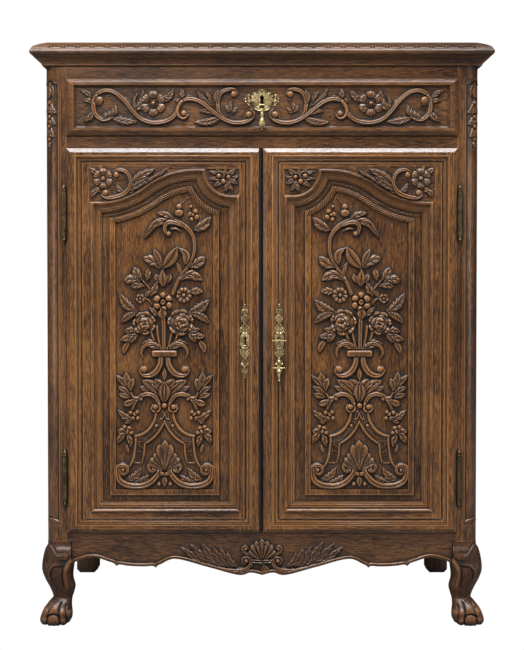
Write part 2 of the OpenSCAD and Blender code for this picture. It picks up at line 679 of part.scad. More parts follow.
// Door frame. The front of the whole frame, before it is split into stiles and rails:
// a bevelled border, a hollow moulding and a flat band
function hollow_wall() = concat([[0, band_level], [2.5, band_level]],
    [for (t = [0:15:90]) [2.5 + (hollow_w - 5.5) * sin(t), hollow_low + (band_level - hollow_low) * cos(t)]],
    [[hollow_w - 2, hollow_low], [hollow_w, band_level]]);
function tray(a, b) = concat([[a, door_proud + 1]],
    [for (p = hollow_wall()) if (p[0] < hollow_w) [a + p[0], p[1]]],
    [for (p = reversed(hollow_wall())) if (p[0] < hollow_w) [b - p[0], p[1]]], [[b, door_proud + 1]]);
function bevelled(a, b) = [[a, door_back], [a, bevel_low], [a + door_bevel_w, door_proud],
    [b - door_bevel_w, door_proud], [b, bevel_low], [b, door_back]];
module frame_blank() {
    difference() {
        intersection() {
            run_up(door_z0, door_z1) polygon(bevelled(hinge_x, meet_x));
            run_across(hinge_x, meet_x) polygon(bevelled(door_z0, door_z1));
        }
        intersection() {
            run_up(door_z0, door_z1) polygon(tray(hinge_x + border_hinge, meet_x - border_meet));
            run_across(hinge_x, meet_x) polygon(tray(door_z0 + border_end, door_z1 - border_end));
        }
    }
    run_up(door_z0 + border_end + hollow_w, door_z1 - border_end - hollow_w) let (
        a = hinge_x + border_hinge + hollow_w, b = meet_x - border_meet - hollow_w)
        polygon([[a, door_back], [a - 2, hollow_low], [a, band_level], [b, band_level], [b + 2, hollow_low],
            [b, door_back]]);
}

// Section of the frame's inner edge: s runs from the roll's crest towards the panel
foot = roll_r;
roll_level = band_level - 0.5;
fillet_s = roll_r + 2.5;
function rounded(list) = [for (p = list) [round(p[0] * 100) / 100, round(p[1] * 100) / 100]];
edge_section = rounded(concat([[-foot, door_back]], arc(0, roll_level, roll_r, 180, 0, 10),
    [[fillet_s, roll_level], [fillet_s, 3.5]],
    [for (t = [15:15:90]) [fillet_s + (ogee_w - 3 - fillet_s) * sin(t), 3.5 - 4 * (1 - cos(t))]],
    [[ogee_w, -0.5], [ogee_w, groove_h1], [ogee_w - groove_d, groove_h1], [ogee_w - groove_d, groove_h0],
        [ogee_w, groove_h0], [ogee_w, door_back]]));

// Corners of the frame's inner edge: the roll's foot and the sight line, where the mitres run
foot_hx = crest_hx - foot;
foot_mx = crest_mx + foot;
foot_bz = crest_bz - foot;
sight_hx = crest_hx + sight;
sight_mx = crest_mx - sight;
sight_bz = crest_bz + sight;

// The arch at offset s below its crest line, from the hinge side to the meeting side
function cusp(s) = let (z = crest_tz - s)
    [quarter_x - sqrt(pow(arch_quarter_r + s, 2) - pow(quarter_z - z, 2)), z];
function ogee_line(s) = concat([[crest_hx, crest_lz - s]],
    arc(ogee_x0, crest_lz + ogee_r, ogee_r + s, 270, 270 + ogee_a, 14),
    arc(ogee_x1, crest_tz - ogee_r, ogee_r - s, 90 + ogee_a, 90, 14), [[crest_mx, crest_tz - s]]);
module below_arch(s, x0, x1, z0) difference() {
    intersection() {
        polygon(concat(ogee_line(s), [[crest_mx, door_z0], [crest_hx, door_z0]]));
        translate([x0, z0]) square([x1 - x0, door_z1 - z0]);
    }
    translate([quarter_x, quarter_z]) circle(arch_quarter_r + s);
    translate([quarter_x, quarter_foot_z - s]) square([crest_mx - quarter_x + eps, door_z1]);
}

// The roll and its ogee, swept along the arch
module sweep_arc(cx, cz, r, dir, a0, a1) translate([cx, cz, 0]) rotate(a0)
    rotate_extrude(angle = a1 - a0) polygon([for (p = edge_section) [r + dir * p[0], p[1]]]);
module sweep_level(x0, x1, z) run_across(x0, x1) polygon([for (p = edge_section) [z - p[0], p[1]]]);
arch_w = crest_mx - crest_hx;
mitre_shift = 0.8;                // keeps the mitre clear of the mouldings' crossing points
module mitre_at_cusp(side) level(door_back - eps, door_proud + 5) let (a = cusp(-foot), b = cusp(sight),
    d = (b - a) / norm(b - a), p = a - 20 * d - [mitre_shift, 0], q = b + 20 * d - [mitre_shift, 0])
    polygon([p, q, [q[0], crest_bz], [q[0] + side * arch_w, crest_bz], p + [side * arch_w, 0]]);
module arch_sweep() {
    sweep_level(foot_hx, ogee_x0, crest_lz);
    sweep_arc(ogee_x0, crest_lz + ogee_r, ogee_r, 1, 270, 270 + ogee_a);
    sweep_arc(ogee_x1, crest_tz - ogee_r, ogee_r, -1, 90, 90 + ogee_a);
    intersection() {
        sweep_level(ogee_x1, quarter_x, crest_tz);
        mitre_at_cusp(-1);
    }
    intersection() {
        sweep_arc(quarter_x, quarter_z, arch_quarter_r, 1, 270, 170);
        mitre_at_cusp(1);
    }
    sweep_level(quarter_x, foot_mx, quarter_foot_z);
}

// Tenons of the door rails, at the hinge side and the meeting side
module door_tenon(hinge, z0, z1, grow = 0) {
    x0 = hinge ? foot_hx - door_tenon_l : foot_mx - eps;
    x1 = hinge ? foot_hx + eps : foot_mx + door_tenon_l;
    slab(x0 - grow, x1 + grow, z0 - grow, z1 + grow, groove_h0 - grow, groove_h1 + grow);
}
module top_tenons(grow = 0) {
    door_tenon(true, crest_lz + foot + 10, door_z1 - 30, grow);
    door_tenon(false, quarter_foot_z + foot + 10, door_z1 - 30, grow);
}
module bottom_tenons(grow = 0) for (hinge = [true, false])
    door_tenon(hinge, door_z0 + 14, foot_bz - 4, grow);

module hinge_stile() difference() {
    on_front() difference() {
        union() {
            intersection() {
                frame_blank();
                slab(hinge_x, foot_hx, door_z0, door_z1, door_back, door_proud);
            }
            intersection() {
                run_up(door_z0, door_z1) polygon([for (p = edge_section) [crest_hx + p[0], p[1]]]);
                level(door_back, door_proud + 5) polygon([[foot_hx, foot_bz], [sight_hx, sight_bz],
                    [sight_hx, crest_lz - sight], [foot_hx, crest_lz + foot]]);
            }
        }
        top_tenons(play);
        bottom_tenons(play);
    }
    for (z = [hinge_low, hinge_high]) door_leaf(z, play);
}
module stile_at_meeting() on_front() difference() {
    union() {
        intersection() {
            frame_blank();
            slab(foot_mx, meet_x, door_z0, door_z1, door_back, door_proud);
        }
        intersection() {
            run_up(door_z0, door_z1) polygon([for (p = edge_section) [crest_mx - p[0], p[1]]]);
            level(door_back, door_proud + 5) polygon([[foot_mx, foot_bz], [sight_mx, sight_bz],
                [sight_mx, quarter_foot_z - sight], [foot_mx, quarter_foot_z + foot]]);
        }
    }
    top_tenons(play);
    bottom_tenons(play);
}
module top_rail() on_front() {
    difference() {
        intersection() {
            union() {
                intersection() {
                    frame_blank();
                    level(door_back, door_proud) difference() {
                        translate([foot_hx, crest_lz - sight]) square([foot_mx - foot_hx, door_z1]);
                        below_arch(-1, crest_hx, crest_mx, door_z0);
                        translate([foot_hx, door_z0]) square([foot + eps, crest_lz + 1 - door_z0]);
                        translate([crest_mx, door_z0]) square([foot, quarter_foot_z + 1 - door_z0]);
                    }
                }
                arch_sweep();
            }
            level(door_back, door_proud + 5) polygon([[foot_hx, door_z1], [foot_hx, crest_lz + foot],
                [sight_hx, crest_lz - sight], [sight_hx + 5, crest_lz - sight - 20],
                [sight_mx - 5, quarter_foot_z - sight - 20], [sight_mx, quarter_foot_z - sight],
                [foot_mx, quarter_foot_z + foot], [foot_mx, door_z1]]);
        }
        intersection() {
            translate([quarter_x, quarter_z, band_level - quarter_sink])
                cylinder(r = arch_quarter_r - foot - 1, h = 20);
            slab(quarter_x - arch_quarter_r, foot_mx - 1, quarter_foot_z, quarter_z + 3, 0, door_proud + 5);
        }
    }
    top_tenons();
}
module bottom_rail() on_front() {
    intersection() {
        union() {
            intersection() {
                frame_blank();
                slab(foot_hx, foot_mx, door_z0, foot_bz, door_back, door_proud);
            }
            run_across(foot_hx, foot_mx) polygon([for (p = edge_section) [crest_bz + p[0], p[1]]]);
        }
        level(door_back, door_proud + 5) polygon([[foot_hx, door_z0], [foot_hx, foot_bz],
            [sight_hx, sight_bz], [sight_mx, sight_bz], [foot_mx, foot_bz], [foot_mx, door_z0]]);
    }
    bottom_tenons();
}
tongue_s = sight - groove_d + 1;  // offset of the tongue's edge, 1 mm short of the groove's floor
module panel() on_front() {
    level(groove_h0 + play, groove_h1 - play)
        below_arch(tongue_s, crest_hx + tongue_s, crest_mx - tongue_s, crest_bz + tongue_s);
    difference() {
        level(groove_h1 - 1, groove_h1 + lip_h)
            below_arch(lip_out, sight_hx + margin_hinge, sight_mx - margin_meet, sight_bz + margin_foot);
        level(groove_h1 + lip_h - ground_sink, groove_h1 + lip_h + eps)
            below_arch(lip_out + lip_w, sight_hx + margin_hinge + lip_w, sight_mx - margin_meet - lip_w,
                sight_bz + margin_foot + lip_w);
    }
}

module door_left_hinge_stile() color(oak_door) hinge_stile();
module door_right_hinge_stile() right_side() door_left_hinge_stile();
module door_left_top_rail() color(oak_door) top_rail();
module door_right_top_rail() right_side() door_left_top_rail();
module door_left_bottom_rail() color(oak_door) bottom_rail();
module door_right_bottom_rail() right_side() door_left_bottom_rail();
module door_left_panel() color(oak_door) panel();
module door_right_panel() right_side() door_left_panel();

// Flush bolts, let into the meeting edge of the left door: a rod, its thumb piece and a face plate
flush_x = meet_x - 3 - flush_bolt_r;
flush_h = door_back + 7;
flush_l = 90;
thumb_r = 2;
module flush_rod(z0, z1, grow = 0) translate([flush_x, z0, flush_h]) rotate([-90, 0, 0])
    cylinder(r = flush_bolt_r + grow, h = z1 - z0);
module thumb_slot(z0, z1, grow) slab(flush_x, meet_x + eps, z0 - grow, z1 + grow,
    flush_h - thumb_r - grow, flush_h + thumb_r + grow);
module flush_plate(z0, z1, grow = 0) slab(meet_x - 2 - grow, meet_x + grow * 10, z0 - grow, z1 + grow,
    door_back + 0.5 - grow, door_back + 13.5 + grow);
high_thumb_z = door_z1 - 60;
low_thumb_z = door_z0 + 60;
module flush_bolt(z0, z1, thumb_z) on_front() {
    flush_rod(z0, z1);
    translate([flush_x, thumb_z, flush_h]) rotate([0, 90, 0]) cylinder(r = thumb_r, h = meet_x - 0.4 - flush_x);
}
module flush_bolt_upper() color(iron) flush_bolt(door_z1 - 1 - flush_l, door_z1 - 1, high_thumb_z);
module flush_bolt_lower() color(iron) flush_bolt(door_z0 + 1, door_z0 + 1 + flush_l, low_thumb_z);
module flush_bolt_plates() color(brass) on_front() difference() {
    union() {
        flush_plate(door_z1 - 100, door_z1 - 4);
        flush_plate(door_z0 + 4, door_z0 + 100);
    }
    thumb_slot(high_thumb_z - thumb_r, high_thumb_z + thumb_r + flush_throw, 0.4);
    thumb_slot(low_thumb_z - thumb_r - flush_throw, low_thumb_z + thumb_r, 0.4);
}

// Door lock in the right door, given here for the left side and mirrored. Its bolt enters the left door
lock_h0 = door_back;
lock_h1 = door_back + 11;
lock_l = 44;
lock_half = 40;
bolt_half = 9;
bolt_z = keyhole_z + 14;
bolt_h = [door_back + 3, door_back + 8];
module lock_body(grow = 0) slab(meet_x - lock_l - grow, meet_x + grow * 10, keyhole_z - lock_half - grow,
    keyhole_z + lock_half + grow, lock_h0 - grow * 10, lock_h1 + grow);
module lock_channel(x0, x1, grow) slab(x0, x1, bolt_z - bolt_half - grow, bolt_z + bolt_half + grow,
    bolt_h[0] - grow, bolt_h[1] + grow);
module door_lock_case() color(iron) right_side() on_front() difference() {
    lock_body();
    lock_channel(meet_x - 30, meet_x + eps, 0.4);
    keyhole(keyhole_z, lock_h1 - 2, lock_h1 + 1);
}
module door_lock_bolt() color(brass) right_side() on_front()
    lock_channel(meet_x - 29, meet_x - 1, 0);

// A keyhole: a round hole over a flared slot
keyhole_l = 14;
module keyhole_plan(z) {
    translate([meet_plate_x, z]) circle(keyhole_r);
    translate([meet_plate_x, z]) polygon([[-2, 0], [2, 0], [3.2, -keyhole_l], [-3.2, -keyhole_l]]);
}
module keyhole(z, h0, h1) level(h0, h1) keyhole_plan(z);

module door_left_lock_stile() color(oak_door) difference() {
    stile_at_meeting();
    on_front() {
        slab(meet_x - step_w, meet_x + eps, door_z0 - eps, door_z1 + eps,
            door_proud - step_d, door_proud + eps);
        flush_rod(door_z1 - flush_l - 4, door_z1 + eps, 0.4);
        flush_rod(door_z0 - eps, door_z0 + flush_l + 4, 0.4);
        flush_plate(door_z1 - 100, door_z1 - 4, play);
        flush_plate(door_z0 + 4, door_z0 + 100, play);
        thumb_slot(high_thumb_z - thumb_r, high_thumb_z + thumb_r + flush_throw, 0.4);
        thumb_slot(low_thumb_z - thumb_r - flush_throw, low_thumb_z + thumb_r, 0.4);
        lock_channel(meet_x - lock_throw, meet_x + eps, 1);
        keyhole(keyhole_z, 0, door_proud + eps);
    }
}
module door_right_lock_stile() color(oak_door) right_side() difference() {
    stile_at_meeting();
    on_front() {
        lock_body(play);
        keyhole(keyhole_z, lock_h1 - eps, door_proud + eps);
    }
}

// Door escutcheons: a pierced plate, longer than the keyhole's shield; z is measured from the keyhole
plate_k = door_plate_l / 173;
plate_half = [[2.5, 82], [3, 78], [1.5, 74], [1.5, 66], [5, 63], [2, 58], [8, 48], [1.8, 38], [6, 34],
    [4, 29], [11, 22], [5, 17], [11, 8], [12, -4], [9, -22], [6, -26], [10, -31], [4, -36], [7, -41],
    [2, -44], [7.5, -51], [2, -59], [6, -66], [2, -72], [5, -78], [2, -82], [2.5, -88], [1, -91]];
module door_plate_plan(z) translate([meet_plate_x, z]) difference() {
    let (half = [for (p = plate_half) [p[0], p[1] * plate_k]]) polygon(concat(half, mirrored(half)));
    for (d = [[48, 4.5], [-51, 4]]) translate([0, d[0] * plate_k])
        polygon([[d[1], 0], [0, d[1]], [-d[1], 0], [0, -d[1]]]);
}
module door_plate() on_front() difference() {
    level(band_level, band_level + plate_t) door_plate_plan(keyhole_z);
    keyhole(keyhole_z, band_level - eps, band_level + plate_t + eps);
}
module door_left_escutcheon() color(brass) door_plate();

// The right escutcheon also carries the bar of the hanging pull, on two studs
pull_z = keyhole_z - 6;
stud_x = 9;
module ball_bar(z, h, l, r) translate([meet_plate_x, z, h]) {
    rotate([0, 90, 0]) cylinder(r = r, h = l, center = true);
    for (x = [-1, 1]) translate([x * l / 2, 0, 0]) sphere(r * 1.8);
}
module door_right_escutcheon() color(brass) right_side() {
    door_plate();
    on_front() {
        for (x = [-1, 1]) translate([meet_plate_x + x * stud_x, pull_z, band_level + 0.5])
            cylinder(r = 1.8, h = door_pivot_out - band_level);
        ball_bar(pull_z, door_pivot_out, pull_bar_l, pivot_r);
    }
}
eye_r = 3.4;
eye_half = 2.2;
module eye(x, z, h) difference() {
    union() {
        translate([x, z, h]) rotate([0, 90, 0]) cylinder(r = eye_r, h = 2 * eye_half, center = true);
        for (i = [0:$children - 1]) children(i);
    }
    translate([x, z, h]) rotate([0, 90, 0])
        cylinder(r = pivot_r + pivot_clear, h = 4 * eye_half, center = true);
}
// A turned drop that hangs from z: radius and depth below the pivot as a share of its length
module drop(x, z, h, l, profile) translate([x, z, h]) rotate([-90, 0, 0]) rotate_extrude()
    polygon(concat([[0, -eye_r + 0.6]], [for (p = profile) [p[0], -p[1] * l]], [[0, -l]]));
module door_pull() color(brass) right_side() on_front() {
    eye(meet_plate_x, pull_z, door_pivot_out) {
        drop(meet_plate_x, pull_z, door_pivot_out, door_pull_l,
            [[1.5, 0.03], [1.5, 0.16], [3, 0.18], [3, 0.2], [1.6, 0.22], [1.8, 0.38], [3.6, 0.41], [4.2, 0.44],
            [2.4, 0.47], [2, 0.5], [3.8, 0.53], [4.4, 0.56], [3.4, 0.6], [2, 0.63], [2, 0.68], [5.4, 0.71],
            [5.8, 0.73], [3, 0.76], [2.2, 0.82], [1.6, 0.9], [2.6, 0.94], [2.6, 0.97], [1, 1]]);
        ball_bar(pull_z - 0.655 * door_pull_l, door_pivot_out, pull_bar_l, 1.4);
    }
}

// Drawer: a front with a carved ground, dovetailed sides, a back and a bottom
front_x = open_w - drawer_gap;
front_z0 = drawer_z + 2;
front_z1 = frieze_z - 2;
ground_x = front_x - drawer_border - drawer_step - 3;
bottom_z = drawer_low + 12;
tail_l = 15;
tail_n = 3;
function front_tray(a, b) = [[a, door_proud + 1], [a, door_proud - 3], [a + 2, door_proud - 3],
    [a + drawer_step, drawer_ground], [b - drawer_step, drawer_ground], [b - 2, door_proud - 3],
    [b, door_proud - 3], [b, door_proud + 1]];
function front_block(a, b) = [[a, -drawer_front_in], [a, bevel_low], [a + door_bevel_w, door_proud],
    [b - door_bevel_w, door_proud], [b, bevel_low], [b, -drawer_front_in]];
module tails() for (i = [0:tail_n - 1]) let (z = drawer_low + (i + 0.5) * drawer_side_h / tail_n)
    run_along_x(-drawer_side_x, -drawer_side_x + drawer_side_t) polygon([
        [front_y + drawer_front_in, z - 10], [front_y + drawer_front_in - tail_l, z - 13.5],
        [front_y + drawer_front_in - tail_l, z + 13.5], [front_y + drawer_front_in, z + 10]]);
bottom_in = 5;                    // the bottom enters the sides and the front this far
drawer_in_x = drawer_side_x - drawer_side_t;
module bottom_board(grow = 0) block(-drawer_in_x - bottom_in - grow, drawer_in_x + bottom_in + grow,
    front_y + drawer_front_in - bottom_in - grow, front_y + drawer_l - 2,
    bottom_z - grow, bottom_z + drawer_bottom_t + grow);
module drawer_front() color(oak) difference() {
    on_front() difference() {
        intersection() {
            run_up(front_z0, front_z1) polygon(front_block(-front_x, front_x));
            run_across(-front_x, front_x) polygon(front_block(front_z0, front_z1));
        }
        intersection() {
            run_up(front_z0, front_z1)
                polygon(front_tray(-front_x + drawer_border + 3, front_x - drawer_border - 3));
            run_across(-front_x, front_x)
                polygon(front_tray(front_z0 + drawer_border, front_z1 - drawer_border));
        }
        drawer_lock_body(play);
        translate([-meet_plate_x, 0, 0]) keyhole(drawer_keyhole_z, -drawer_front_in + 5, door_proud);
    }
    both_sides() tails();
    bottom_board(play);
    drawer_bolt(drawer_keyhole_z, front_z1 + eps, 0.4);
}
module drawer_side_left() color(oak_inside) difference() {
    union() {
        block(-drawer_side_x, -drawer_side_x + drawer_side_t, front_y + drawer_front_in, front_y + drawer_l,
            drawer_low, drawer_low + drawer_side_h);
        tails();
    }
    bottom_board(play);
    drawer_back_board(play);
}
module drawer_side_right() right_side() drawer_side_left();
module drawer_back_board(grow = 0) block(-drawer_in_x - 4 - grow, drawer_in_x + 4 + grow,
    front_y + drawer_l - 14 - grow, front_y + drawer_l - 4 + grow, bottom_z + drawer_bottom_t - grow,
    drawer_low + drawer_side_h - 5 + grow * 60);
module drawer_back() color(oak_inside) drawer_back_board();
module drawer_bottom() color(oak_inside) bottom_board();

// Drawer lock, let into the back of the drawer front. Its bolt rises into the frieze rail
module drawer_lock_body(grow = 0) slab(-32 - grow, 32 + grow, drawer_keyhole_z - 26 - grow,
    front_z1 - 3 + grow, -drawer_front_in - grow * 10, -drawer_front_in + 11 + grow);
module drawer_bolt(z0, z1, grow) block(-14 - grow, 14 + grow, front_y + drawer_front_in - 8 - grow,
    front_y + drawer_front_in - 3 + grow, z0, z1);
module drawer_lock_case() color(iron) difference() {
    on_front() drawer_lock_body();
    drawer_bolt(drawer_keyhole_z + 4, front_z1 + eps, 0.4);
}
module drawer_lock_bolt() color(brass) drawer_bolt(drawer_keyhole_z + 5, front_z1 - 0.5, 0);

drawer_pivot_z = drawer_keyhole_z - 30;
ear_half = eye_half + 0.3;        // half the gap between the two ears that hold the pull
ear_t = 1.5;
module drawer_plate_plan() difference() {
    union() {
        circle(13);
        polygon([[-12, 4], [12, 4], [3, -33], [-3, -33]]);
        translate([-drawer_plate_w / 2 + 8, -9]) square([drawer_plate_w - 16, 7]);
        for (x = [-1, 1]) {
            translate([x * (drawer_plate_w / 2 - 7), -5.5]) circle(7);
            translate([x * 19, 10]) circle(5.5);
            translate([x * 19 - 3, -6]) square([6, 16]);
            translate([x * 22, -11]) circle(5);
        }
        translate([-3, 0]) square([6, 20]);
        translate([0, 16]) circle(5.5);
        translate([0, -30]) circle(5.5);
    }
    for (x = [-1, 1]) translate([x * (drawer_plate_w / 2 - 7), -5.5]) circle(2);
}
module drawer_escutcheon() color(brass) on_front() {
    difference() {
        level(drawer_ground, drawer_ground + plate_t) translate([0, drawer_keyhole_z]) drawer_plate_plan();
        translate([-meet_plate_x, 0, 0]) keyhole(drawer_keyhole_z, 0, door_proud + eps);
    }
    slab(-4, 4, drawer_pivot_z - 3, drawer_pivot_z + 3, drawer_ground + 1, drawer_pivot_out - eye_r - 0.5);
    for (x = [-ear_half - ear_t, ear_half]) slab(x, x + ear_t, drawer_pivot_z - 3, drawer_pivot_z + 3,
        drawer_pivot_out - eye_r - ear_t, drawer_pivot_out + 2.5);
    translate([0, drawer_pivot_z, drawer_pivot_out]) rotate([0, 90, 0])
        cylinder(r = pivot_r, h = 2 * (ear_half + ear_t), center = true);
}
module drawer_pull() color(brass) on_front() eye(0, drawer_pivot_z, drawer_pivot_out)
    drop(0, drawer_pivot_z, drawer_pivot_out, drawer_pull_l, [[1.6, 0.06], [1.6, 0.14], [4.4, 0.18],
        [5, 0.22], [3.2, 0.26], [2.4, 0.3], [4, 0.38], [bulb_r - 1.6, 0.5], [bulb_r, 0.62], [bulb_r, 0.7],
        [bulb_r - 1.4, 0.8], [4, 0.88], [2.6, 0.92], [2.4, 0.97], [1, 1]]);

top_board();
cornice_front();
cornice_left();
cornice_right();
frieze_rail();
drawer_rail();
apron();
post_front_left();
post_front_right();
leg_front_left();
leg_front_right();
post_back_left();
post_back_right();
side_top_rail_left();
side_top_rail_right();
side_bottom_rail_left();
side_bottom_rail_right();
side_panel_left();
side_panel_right();
back_rails();
back_boards();
bottom_boards();
shelf_lower();
shelf_upper();
shelf_cleats();
dust_board();
drawer_runners();
drawer_kickers();
drawer_stops();
hinge_pins_left();
hinge_pins_right();
door_left_hinge_stile();
door_left_lock_stile();
door_left_top_rail();
door_left_bottom_rail();
door_left_panel();
door_left_escutcheon();
door_left_hinge_barrels();
flush_bolt_plates();
flush_bolt_upper();
flush_bolt_lower();
door_right_hinge_stile();
door_right_lock_stile();
door_right_top_rail();
door_right_bottom_rail();
door_right_panel();
door_right_escutcheon();
door_right_hinge_barrels();
door_lock_case();
door_lock_bolt();
door_pull();
drawer_front();
drawer_side_left();
drawer_side_right();
drawer_back();
drawer_bottom();
drawer_escutcheon();
drawer_lock_case();
drawer_lock_bolt();
drawer_pull();
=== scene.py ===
"""Looks for the carved oak cabinet: carving, leaf bands, brass fittings, finishes, light and camera."""
import bpy
import bmesh
import math
import numpy as np
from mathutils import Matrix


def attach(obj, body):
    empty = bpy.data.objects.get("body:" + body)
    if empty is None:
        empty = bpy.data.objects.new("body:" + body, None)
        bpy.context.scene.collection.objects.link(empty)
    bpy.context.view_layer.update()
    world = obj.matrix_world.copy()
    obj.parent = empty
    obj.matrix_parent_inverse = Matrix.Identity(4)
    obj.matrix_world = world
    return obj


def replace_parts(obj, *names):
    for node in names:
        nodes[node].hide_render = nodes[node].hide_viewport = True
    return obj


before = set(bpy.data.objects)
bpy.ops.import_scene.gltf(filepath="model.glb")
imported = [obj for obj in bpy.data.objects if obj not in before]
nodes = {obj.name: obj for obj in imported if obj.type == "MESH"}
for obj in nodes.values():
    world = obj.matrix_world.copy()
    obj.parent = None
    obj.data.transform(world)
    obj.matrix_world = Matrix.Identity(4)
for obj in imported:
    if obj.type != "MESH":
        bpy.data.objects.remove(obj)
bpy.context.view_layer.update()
scene = bpy.context.scene

# The drawing of the front: its unit is UNIT millimetres, u runs right and v runs down
UNIT = 2.397
MIDDLE = 262.2
EYE_LINE = 265.0
EYE_HEIGHT = 859.0
FACE = -230.0                     # y of the case's front, in millimetres


def across_front(u):
    """Millimetres to the right of the cabinet's middle."""
    return (u - MIDDLE) * UNIT


def above_floor(v):
    """Millimetres above the floor."""
    return EYE_HEIGHT - (v - EYE_LINE) * UNIT


def front_point(u, v, height, flip=1):
    """A place on the drawing, so many millimetres in front of the case's face, in metres."""
    return np.stack([flip * across_front(u), FACE - height, above_floor(v)], -1) / 1000


# ---------------------------------------------------------------- camera
camera = bpy.data.objects.new("camera", bpy.data.cameras.new("camera"))
scene.collection.objects.link(camera)
camera.location = (0, -2.880, 0.859)
camera.rotation_euler = (math.radians(90 - 1.14), 0, 0)
camera.data.sensor_fit = "HORIZONTAL"
camera.data.sensor_width = 36
camera.data.lens = 76.30
camera.data.shift_y = -0.0714
scene.camera = camera


# ---------------------------------------------------------------- finishes
def add_node(tree, kind, values, stops=(), **settings):
    """A node of a tree: first its settings, then a ramp's stops, then a value or a link for each socket."""
    node = tree.nodes.new(kind)
    for key, value in settings.items():
        setattr(node, key, value)
    if stops:
        ramp = node.color_ramp.elements
        while len(ramp) < len(stops):
            ramp.new(0.5)
        for stop, (position, colour) in zip(ramp, stops):
            stop.position, stop.color = position, (*colour, 1)
    for key, value in values.items():
        connect(tree, value, node.inputs[key])
    return node


def connect(tree, value, socket):
    """Gives a socket a link, from a Signal or another socket, or a plain value."""
    value = value.socket if isinstance(value, Signal) else value
    if isinstance(value, bpy.types.NodeSocket):
        tree.links.new(value, socket)
    else:
        socket.default_value = value


class Signal:
    """One socket of a finish. Sums and products of it add Math nodes."""

    def __init__(self, finish, socket):
        self.finish, self.socket = finish, socket

    def math(self, operation, a, b=0.0):
        return self.finish.add("Math", {0: a, 1: b}, operation=operation)

    def __add__(self, other): return self.math("ADD", self, other)
    def __radd__(self, other): return self.math("ADD", other, self)
    def __sub__(self, other): return self.math("SUBTRACT", self, other)
    def __rsub__(self, other): return self.math("SUBTRACT", other, self)
    def __mul__(self, other): return self.math("MULTIPLY", self, other)
    def __rmul__(self, other): return self.math("MULTIPLY", other, self)

    def between(self, low, high):
        """0 at low and 1 at high, smooth and held at both ends."""
        return self.finish.add("MapRange", {"Value": self, "From Min": low, "From Max": high},
                               interpolation_type="SMOOTHSTEP")


class Finish:
    """A material under the brush."""

    def __init__(self, name, rough, metal=0.0):
        self.material = bpy.data.materials.new(name)
        self.material.use_nodes = True
        self.tree = self.material.node_tree
        self.shader = self.tree.nodes["Principled BSDF"].inputs
        self.put("Roughness", rough)
        self.put("Metallic", metal)
        self.place = self.add("TexCoord", out="Object")

    def add(self, kind, values=None, out=0, stops=(), **settings):
        return Signal(self, add_node(self.tree, "ShaderNode" + kind, values or {}, stops, **settings).outputs[out])

    def put(self, name, value):
        connect(self.tree, value, self.shader[name])

    def noise(self, vector, scale, detail=2.0, rough=0.5, twist=0.0):
        return self.add("TexNoise", {"Vector": vector, "Scale": scale, "Detail": detail, "Roughness": rough,
                                     "Distortion": twist})

    def mixed(self, share, a, b):
        a, b = (colour if isinstance(colour, Signal) else (*colour, 1) for colour in (a, b))
        return self.add("Mix", {0: share, 6: a, 7: b}, out=2, data_type="RGBA")

    def hollow(self, reach, open_at, shut_at, **settings):
        """1 where the surface is shut in within reach, 0 where it is open."""
        return self.add("AmbientOcclusion", {"Distance": reach}, out="AO", **settings).between(open_at, shut_at)

    def bump(self, height, distance, strength=1.0, normal=None):
        values = {"Height": height, "Distance": distance, "Strength": strength}
        if normal:
            values["Normal"] = normal
        return self.add("Bump", values)


